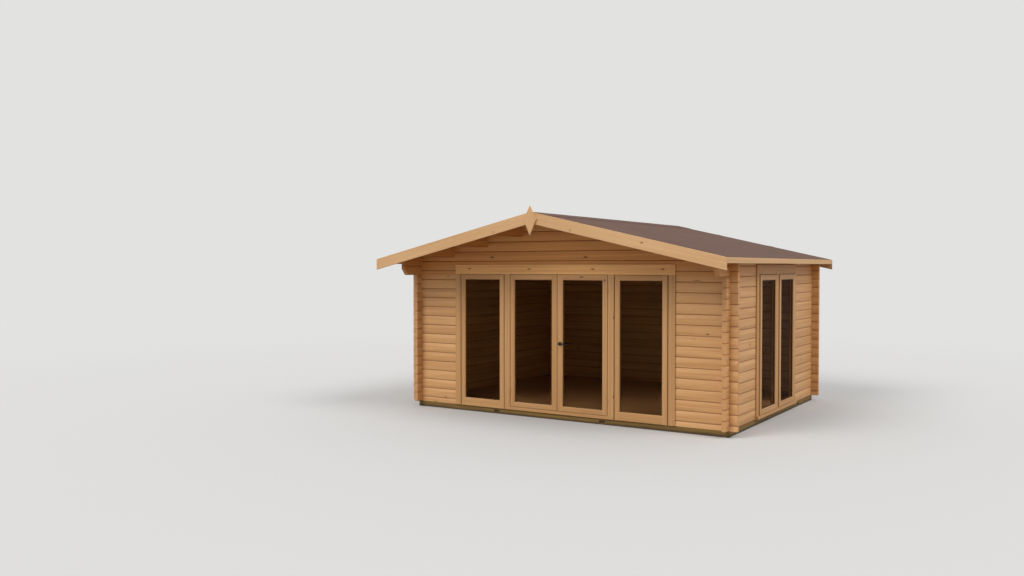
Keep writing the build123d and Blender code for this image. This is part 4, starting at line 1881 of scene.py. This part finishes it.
    def build(self) -> None:
        """Make the side lights, the leaves and the window's sashes."""
        for name, glass, wall, body, lead in (
            ("side_lights", "side_light_glass", Wall.FRONT, CABIN, 0),
            ("door_leaf_left", "door_glass_left", Wall.FRONT, "left_door", 1),
            ("door_leaf_right", "door_glass_right", Wall.FRONT, "right_door", -1),
            ("side_window_sashes", "side_window_glass", Wall.RIGHT, CABIN, 0),
        ):
            plans = self.plans(name, glass, wall)
            surface = together([self.sash(plan, lead) for plan in plans])
            add_piece(f"{name}_joinery", surface, self.material, body, (name,))
            seals = [strip for plan in plans for strip in self.pane_seals(plan, glass)]
            if lead == 0:
                seals += [strip for plan in plans for strip in self.groove_seals(plan)]
            add_piece(f"{name}_seals", together(seals), self.rubber, body)


# Finials


@dataclass(frozen=True)
class Finials:
    """The kite-shaped boards at both ends of the ridge; no tip shows above the ridge at the back."""

    material: Material
    half: float = 0.096
    thick: float = 0.02
    shoulder: float = 0.133
    hang: float = 0.018
    ease: float = 0.003
    front_rise: float = 0.042
    back_rise: float = -0.046

    def board(self, front: float, rise: float) -> Surface:
        """One board: four rings of its outline, drawn in a little at both faces.

        Args:
            front: Place of its front face along the roof.
            rise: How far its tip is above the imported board's.

        Returns:
            The board.
        """
        low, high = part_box("finials")
        side = high.z - self.shoulder
        middle = np.array([0.0, side])
        tips = ((0.0, high.z + rise), (self.half, side), (0.0, low.z - self.hang), (-self.half, side))
        outline = np.array(tips) - middle
        depths = (0.0, self.ease, self.thick - self.ease, self.thick)
        drawn_in = 1 - self.ease / self.half
        rings = []
        for depth, scale in zip(depths, (drawn_in, 1.0, 1.0, drawn_in)):
            flat = outline * scale + middle
            rings.append(np.stack([flat[:, 0], np.full(len(flat), front + depth), flat[:, 1]], axis=-1))
        return bare_tube(np.array(rings))

    def build(self) -> None:
        """Make both boards."""
        low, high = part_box("finials")
        front = self.board(low.y, self.front_rise)
        back = self.board(high.y - self.thick, self.back_rise)
        boards = together([front, back])
        add_piece("finial_boards", boards, self.material, stands_for=("finials",))


# Screws and nails


@dataclass
class Fixings:
    """Screws in the boards and clout nails in the felt, as small domed heads."""

    sizes: CabinSizes
    roof: Roof
    steel: Material
    zinc: Material
    screw: float = 0.0038
    clout: float = 0.005
    sides: int = 10
    dome: float = 0.3
    dome_turns: tuple[float, ...] = (0.0, 0.7, 1.3)
    sunk: float = 0.001
    barge_first: float = 0.35
    barge_reach: float = 2.5
    barge_pitch: float = 0.42
    barge_drops: Pair = (0.012, 0.088)
    header_inset: Pair = (0.06, 0.03)
    header_pairs: int = 7
    board_end: float = 0.1
    architrave_middle: float = 0.045
    architrave_screws: int = 5
    fascia_screws: int = 9
    clout_pitch: float = 0.15
    clout_lift: float = 0.0008
    eave_inset: float = 0.03
    eave_ends: Pair = (0.08, 0.05)
    verge_insets: Pair = (0.02, 0.025)
    verge_ends: Pair = (0.3, 0.1)

    def head(self, centre: Point, out: Point, radius: float) -> Surface:
        """A head: rings whose radius falls by a cosine while they rise by a sine.

        Args:
            centre: Its place on the face.
            out: Unit direction out of the face.
            radius: Its radius.

        Returns:
            The head, sunk a little into the face.
        """
        middle, normal = np.array(centre), np.array(out)
        helper = (0.0, 0.0, 1.0) if abs(normal[1]) > abs(normal[2]) + abs(normal[0]) else (0.0, 1.0, 0.0)
        first = np.cross(normal, helper)
        first = first / np.linalg.norm(first)
        second = np.cross(normal, first)
        angle = np.linspace(0, 2 * math.pi, self.sides, endpoint=False)[:, None]
        spoke = np.cos(angle) * first + np.sin(angle) * second
        rings = [middle - normal * self.sunk + spoke * radius]
        for turn in self.dome_turns:
            rise = normal * radius * self.dome * math.sin(turn)
            rings.append(middle + rise + spoke * radius * math.cos(turn))
        return bare_tube(np.array(rings))

    def screws(self, places: list[Point], out: Point) -> list[Surface]:
        """Screw heads at several places on faces that look the same way."""
        return [self.head(place, out, self.screw) for place in places]

    def front_boards(self) -> list[Surface]:
        """Screws of the front barge boards, the header board and the architraves.

        Returns:
            Their heads.
        """
        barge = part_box("barge_boards_left")[0].y
        places = []
        for x in np.arange(self.barge_first, self.barge_reach, self.barge_pitch):
            for side in (-1, 1):
                top = float(self.sizes.roof_height(x))
                places += [(side * x, barge, top - drop) for drop in self.barge_drops]
        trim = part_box("front_architraves")[0]
        low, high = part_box("front_header_board")
        inset, edge = self.header_inset
        for x in np.linspace(low.x + inset, high.x - inset, self.header_pairs):
            places += [(x, low.y, z) for z in (low.z + edge, high.z - edge)]
        across = abs(trim.x) - self.architrave_middle
        for z in np.linspace(trim.z + self.board_end, low.z - self.board_end, self.architrave_screws):
            places += [(side * across, trim.y, z) for side in (-1, 1)]
        return self.screws(places, (0.0, -1.0, 0.0))

    def side_boards(self) -> list[Surface]:
        """Screws of the fascia boards and of the side window's architraves.

        Returns:
            Their heads.
        """
        heads = []
        low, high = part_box("fascia_boards")
        for y in np.linspace(low.y + self.board_end, high.y - self.board_end, self.fascia_screws):
            for side in (-1, 1):
                heads += self.screws([(side * high.x, y, (low.z + high.z) / 2)], (side, 0.0, 0.0))
        low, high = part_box("side_window_architraves")
        inset = self.architrave_middle
        for z in np.linspace(low.z + self.board_end, high.z - self.board_end, self.architrave_screws):
            places = [(high.x, y, z) for y in (low.y + inset, high.y - inset)]
            heads += self.screws(places, (1.0, 0.0, 0.0))
        return heads

    def felt_nails(self) -> list[Surface]:
        """Nails along the eaves and the gable edges, on top of the felt.

        Returns:
            Their heads.
        """
        low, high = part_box("felt_right")
        reach = high.x / math.cos(self.sizes.pitch)
        out = self.roof.board_thick + self.roof.felt_thick + self.clout_lift
        start, stop = self.eave_ends
        eave = np.arange(low.y + start, high.y - stop, self.clout_pitch)
        places = [(reach - self.eave_inset, y) for y in eave]
        front, back = self.verge_insets
        start, stop = self.verge_ends
        for down in np.arange(start, reach - stop, self.clout_pitch):
            places += [(down, low.y + front), (down, high.y - back)]
        heads = []
        for side in (-1, 1):
            axes = self.roof.slope_axes(side, 0.0)
            for down, y in places:
                heads.append(self.head(axes.world(np.array([down, y, out])), axes.depth, self.clout))
        return heads

    def build(self) -> None:
        """Make the screws and nails."""
        screws = together(self.front_boards() + self.side_boards())
        add_piece("trim_screws", screws, self.steel)
        add_piece("felt_nails", together(self.felt_nails()), self.zinc)


# Setting


@dataclass(frozen=True)
class PhotoCamera:
    """The photograph's camera, as fitted: its place from the near corner, and its lens."""

    right_of_corner: float = 3.749
    before_corner: float = 10.644
    above_logs: float = 1.998
    turn: float = math.radians(32.880)
    dip: float = math.radians(1.344)
    focal_pixels: float = 908.6
    frame_pixels: float = 1024.0
    sensor: float = 36.0
    clip_end: float = 400.0

    def build(self, sizes: CabinSizes) -> None:
        """Make the camera and use it.

        Args:
            sizes: The cabin's planes, from which its place is measured.
        """
        data = bpy.data.cameras.new("photo_camera")
        data.sensor_width = self.sensor
        data.lens = self.focal_pixels / self.frame_pixels * self.sensor
        data.clip_end = self.clip_end
        camera = link("photo_camera", data)
        camera.location = (
            sizes.side_face + self.right_of_corner,
            sizes.front_face - self.before_corner,
            sizes.base + self.above_logs,
        )
        camera.rotation_euler = (math.pi / 2 - self.dip, 0.0, self.turn)
        bpy.context.scene.camera = camera


@dataclass(frozen=True)
class Sun:
    """A broad sun: its bearing from the front, its height and its spread in degrees, its strength."""

    name: str
    bearing: float
    height: float
    strength: float
    spread: float = 30.0

    def build(self) -> None:
        """Make the sun."""
        data = bpy.data.lights.new(self.name, "SUN")
        data.energy = self.strength
        data.angle = math.radians(self.spread)
        lamp = link(self.name, data)
        lamp.rotation_euler = (math.radians(90 - self.height), 0.0, math.radians(self.bearing))


@dataclass(frozen=True)
class Studio:
    """A floor that looks pale and fades into a pale backdrop, a soft sky and two broad suns."""

    backdrop: Colour = srgb(226, 226, 225)
    sky_tone: Colour = srgb(252, 253, 255)
    floor_tone: Colour = srgb(189, 188, 186)
    bounce_tone: Colour = srgb(148, 144, 140)
    floor_radius: float = 120.0
    floor_sides: int = 96
    floor_rough: float = 0.9
    floor_specular: float = 0.1
    fade_start: float = 6.5
    fade_stop: float = 19.0
    sky: float = 0.8
    suns: tuple[Sun, ...] = (Sun("front_sun", -24.0, 42.0, 1.64), Sun("side_sun", 86.0, 50.0, 1.34))

    def floor(self) -> None:
        """The floor, which turns into the backdrop's colour far from the cabin.

        Its rim is a circle: the radius times the cosine and the sine of the angle.
        """
        angle = np.linspace(0, 2 * math.pi, self.floor_sides, endpoint=False)
        rim = np.stack([np.cos(angle), np.sin(angle), 0 * angle], -1) * self.floor_radius
        mesh = bpy.data.meshes.new("studio_floor")
        mesh.from_pydata(rim, [], [tuple(range(len(rim)))])
        material, g, shader = plain_material("studio_floor")
        shader.inputs["Roughness"].default_value = self.floor_rough
        shader.inputs["Specular IOR Level"].default_value = self.floor_specular
        g.feed(shader.inputs["Base Color"], g.mix(self.seen(g), self.bounce_tone, self.floor_tone))
        glow = g.node("ShaderNodeEmission")
        glow.inputs["Color"].default_value = self.backdrop
        far = g.band(g.vector("LENGTH", g.object_place()), self.fade_start, self.fade_stop)
        mixed = g.node("ShaderNodeMixShader")
        share = g.math("MULTIPLY", far, self.seen(g))
        g.feed_all(mixed, {0: share, 1: shader.outputs[0], 2: glow.outputs[0]})
        g.feed(material.node_tree.nodes["Material Output"].inputs["Surface"], mixed.outputs[0])
        mesh.materials.append(material)
        link("studio_floor", mesh)

    def seen(self, g: Graph) -> Socket:
        """Which rays look at the backdrop: those of the camera, of mirrors and of glass.

        Args:
            g: The material's or the world's graph.

        Returns:
            1 for such rays, 0 for others.
        """
        rays = g.node("ShaderNodeLightPath").outputs
        total = g.math("ADD", rays["Is Camera Ray"], rays["Is Glossy Ray"])
        return g.math("MINIMUM", g.math("ADD", total, rays["Is Transmission Ray"]), 1.0)

    def world(self) -> None:
        """A pale backdrop to look at and a soft sky for the light."""
        world = bpy.data.worlds.new("studio")
        bpy.context.scene.world = world
        world.use_nodes = True
        world.node_tree.nodes.clear()
        g = Graph(world.node_tree)
        backdrop, sky = g.node("ShaderNodeBackground"), g.node("ShaderNodeBackground")
        g.feed(backdrop.inputs["Color"], self.backdrop)
        g.feed_all(sky, {"Color": self.sky_tone, "Strength": self.sky})
        mixed = g.node("ShaderNodeMixShader")
        g.feed_all(mixed, {0: self.seen(g), 1: sky.outputs[0], 2: backdrop.outputs[0]})
        g.feed(g.node("ShaderNodeOutputWorld").inputs[0], mixed.outputs[0])

    def build(self) -> None:
        """Make floor, sky and suns."""
        self.floor()
        self.world()
        for sun in self.suns:
            sun.build()
        bpy.context.scene.view_settings.view_transform = "Standard"


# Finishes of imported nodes


@dataclass
class PackedFinishes:
    """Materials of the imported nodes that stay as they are."""

    figure: Tree
    timber: dict[str, tuple[TimberFinish, Lie]] = field(
        default_factory=lambda: {
            "bearers_front_back": (TREATED, Lie.ACROSS),
            "bearers_sides": (TREATED, Lie.DEEP),
            "floor_joists": (TREATED, Lie.DEEP),
            "barge_boards_left": (BOARDS, Lie.SLOPE_LEFT),
            "barge_boards_right": (BOARDS, Lie.SLOPE_RIGHT),
            "fascia_boards": (BOARDS, Lie.DEEP),
            "door_frame_jambs": (JOINERY, Lie.UPRIGHT),
            "door_frame_posts": (JOINERY, Lie.UPRIGHT),
            "door_frame_head": (FRAME_RAILS, Lie.ACROSS),
            "door_threshold": (FRAME_RAILS, Lie.ACROSS),
            "front_architraves": (JOINERY, Lie.UPRIGHT),
            "front_header_board": (HEADER_PAINTED_LIGHT, Lie.ACROSS),
            "side_window_frame": (JOINERY, Lie.UPRIGHT_SIDE),
            "side_window_architraves": (JOINERY, Lie.UPRIGHT_SIDE),
            "side_window_header": (SIDE_HEADER_EAVE_SHADED, Lie.DEEP),
        }
    )
    plain: dict[GlassFinish | MetalFinish, tuple[str, ...]] = field(
        default_factory=lambda: {
            GlassFinish(): ("side_light_glass", "door_glass_left", "door_glass_right", "side_window_glass"),
            BLACK_PAINT: ("handle_roses", "door_handle"),
            HINGE_STEEL: ("door_hinges_left", "door_hinges_right", "post_hinges"),
        }
    )

    def dress(self, node: str, material: Material) -> None:
        """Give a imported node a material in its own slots.

        Args:
            node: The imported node.
            material: Its finish.
        """
        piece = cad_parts[node]
        if not piece.material_slots:
            piece.data.materials.append(material)
        for slot in piece.material_slots:
            slot.material = material
        LOG.info("%s: dressed in %s", node, material.name)

    def build(self) -> None:
        """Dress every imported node."""
        for node, (finish, lie) in self.timber.items():
            self.dress(node, finish.build(self.figure, lie))
        for finish, nodes in self.plain.items():
            material = finish.build()
            for node in nodes:
                self.dress(node, material)


def main() -> None:
    """Read the sizes, then build the cabin's pieces in order, then the studio and the camera."""
    logging.basicConfig(level=logging.INFO, format="%(name)s: %(message)s")
    sizes = CabinSizes.from_frame()
    rng = np.random.default_rng(SEED)
    figure = timber_figure(FigureScale())
    logs = LOGS.build(figure)
    LogWalls(sizes, logs, rng).build()
    roof = Roof(sizes, rng, logs, ROOF_TIMBER.build(figure), FeltFinish().build())
    roof.build()
    Floor(FLOOR_TIMBER.build(figure), rng).build()
    Sashes(JOINERY.build(figure), RUBBER.build(), rng).build()
    Finials(BOARDS.build(figure, Lie.UPRIGHT)).build()
    Fixings(sizes, roof, SCREW_STEEL.build(), ZINC.build()).build()
    PackedFinishes(figure).build()
    Studio().build()
    PhotoCamera().build(sizes)


if __name__ == "__main__":
    main()
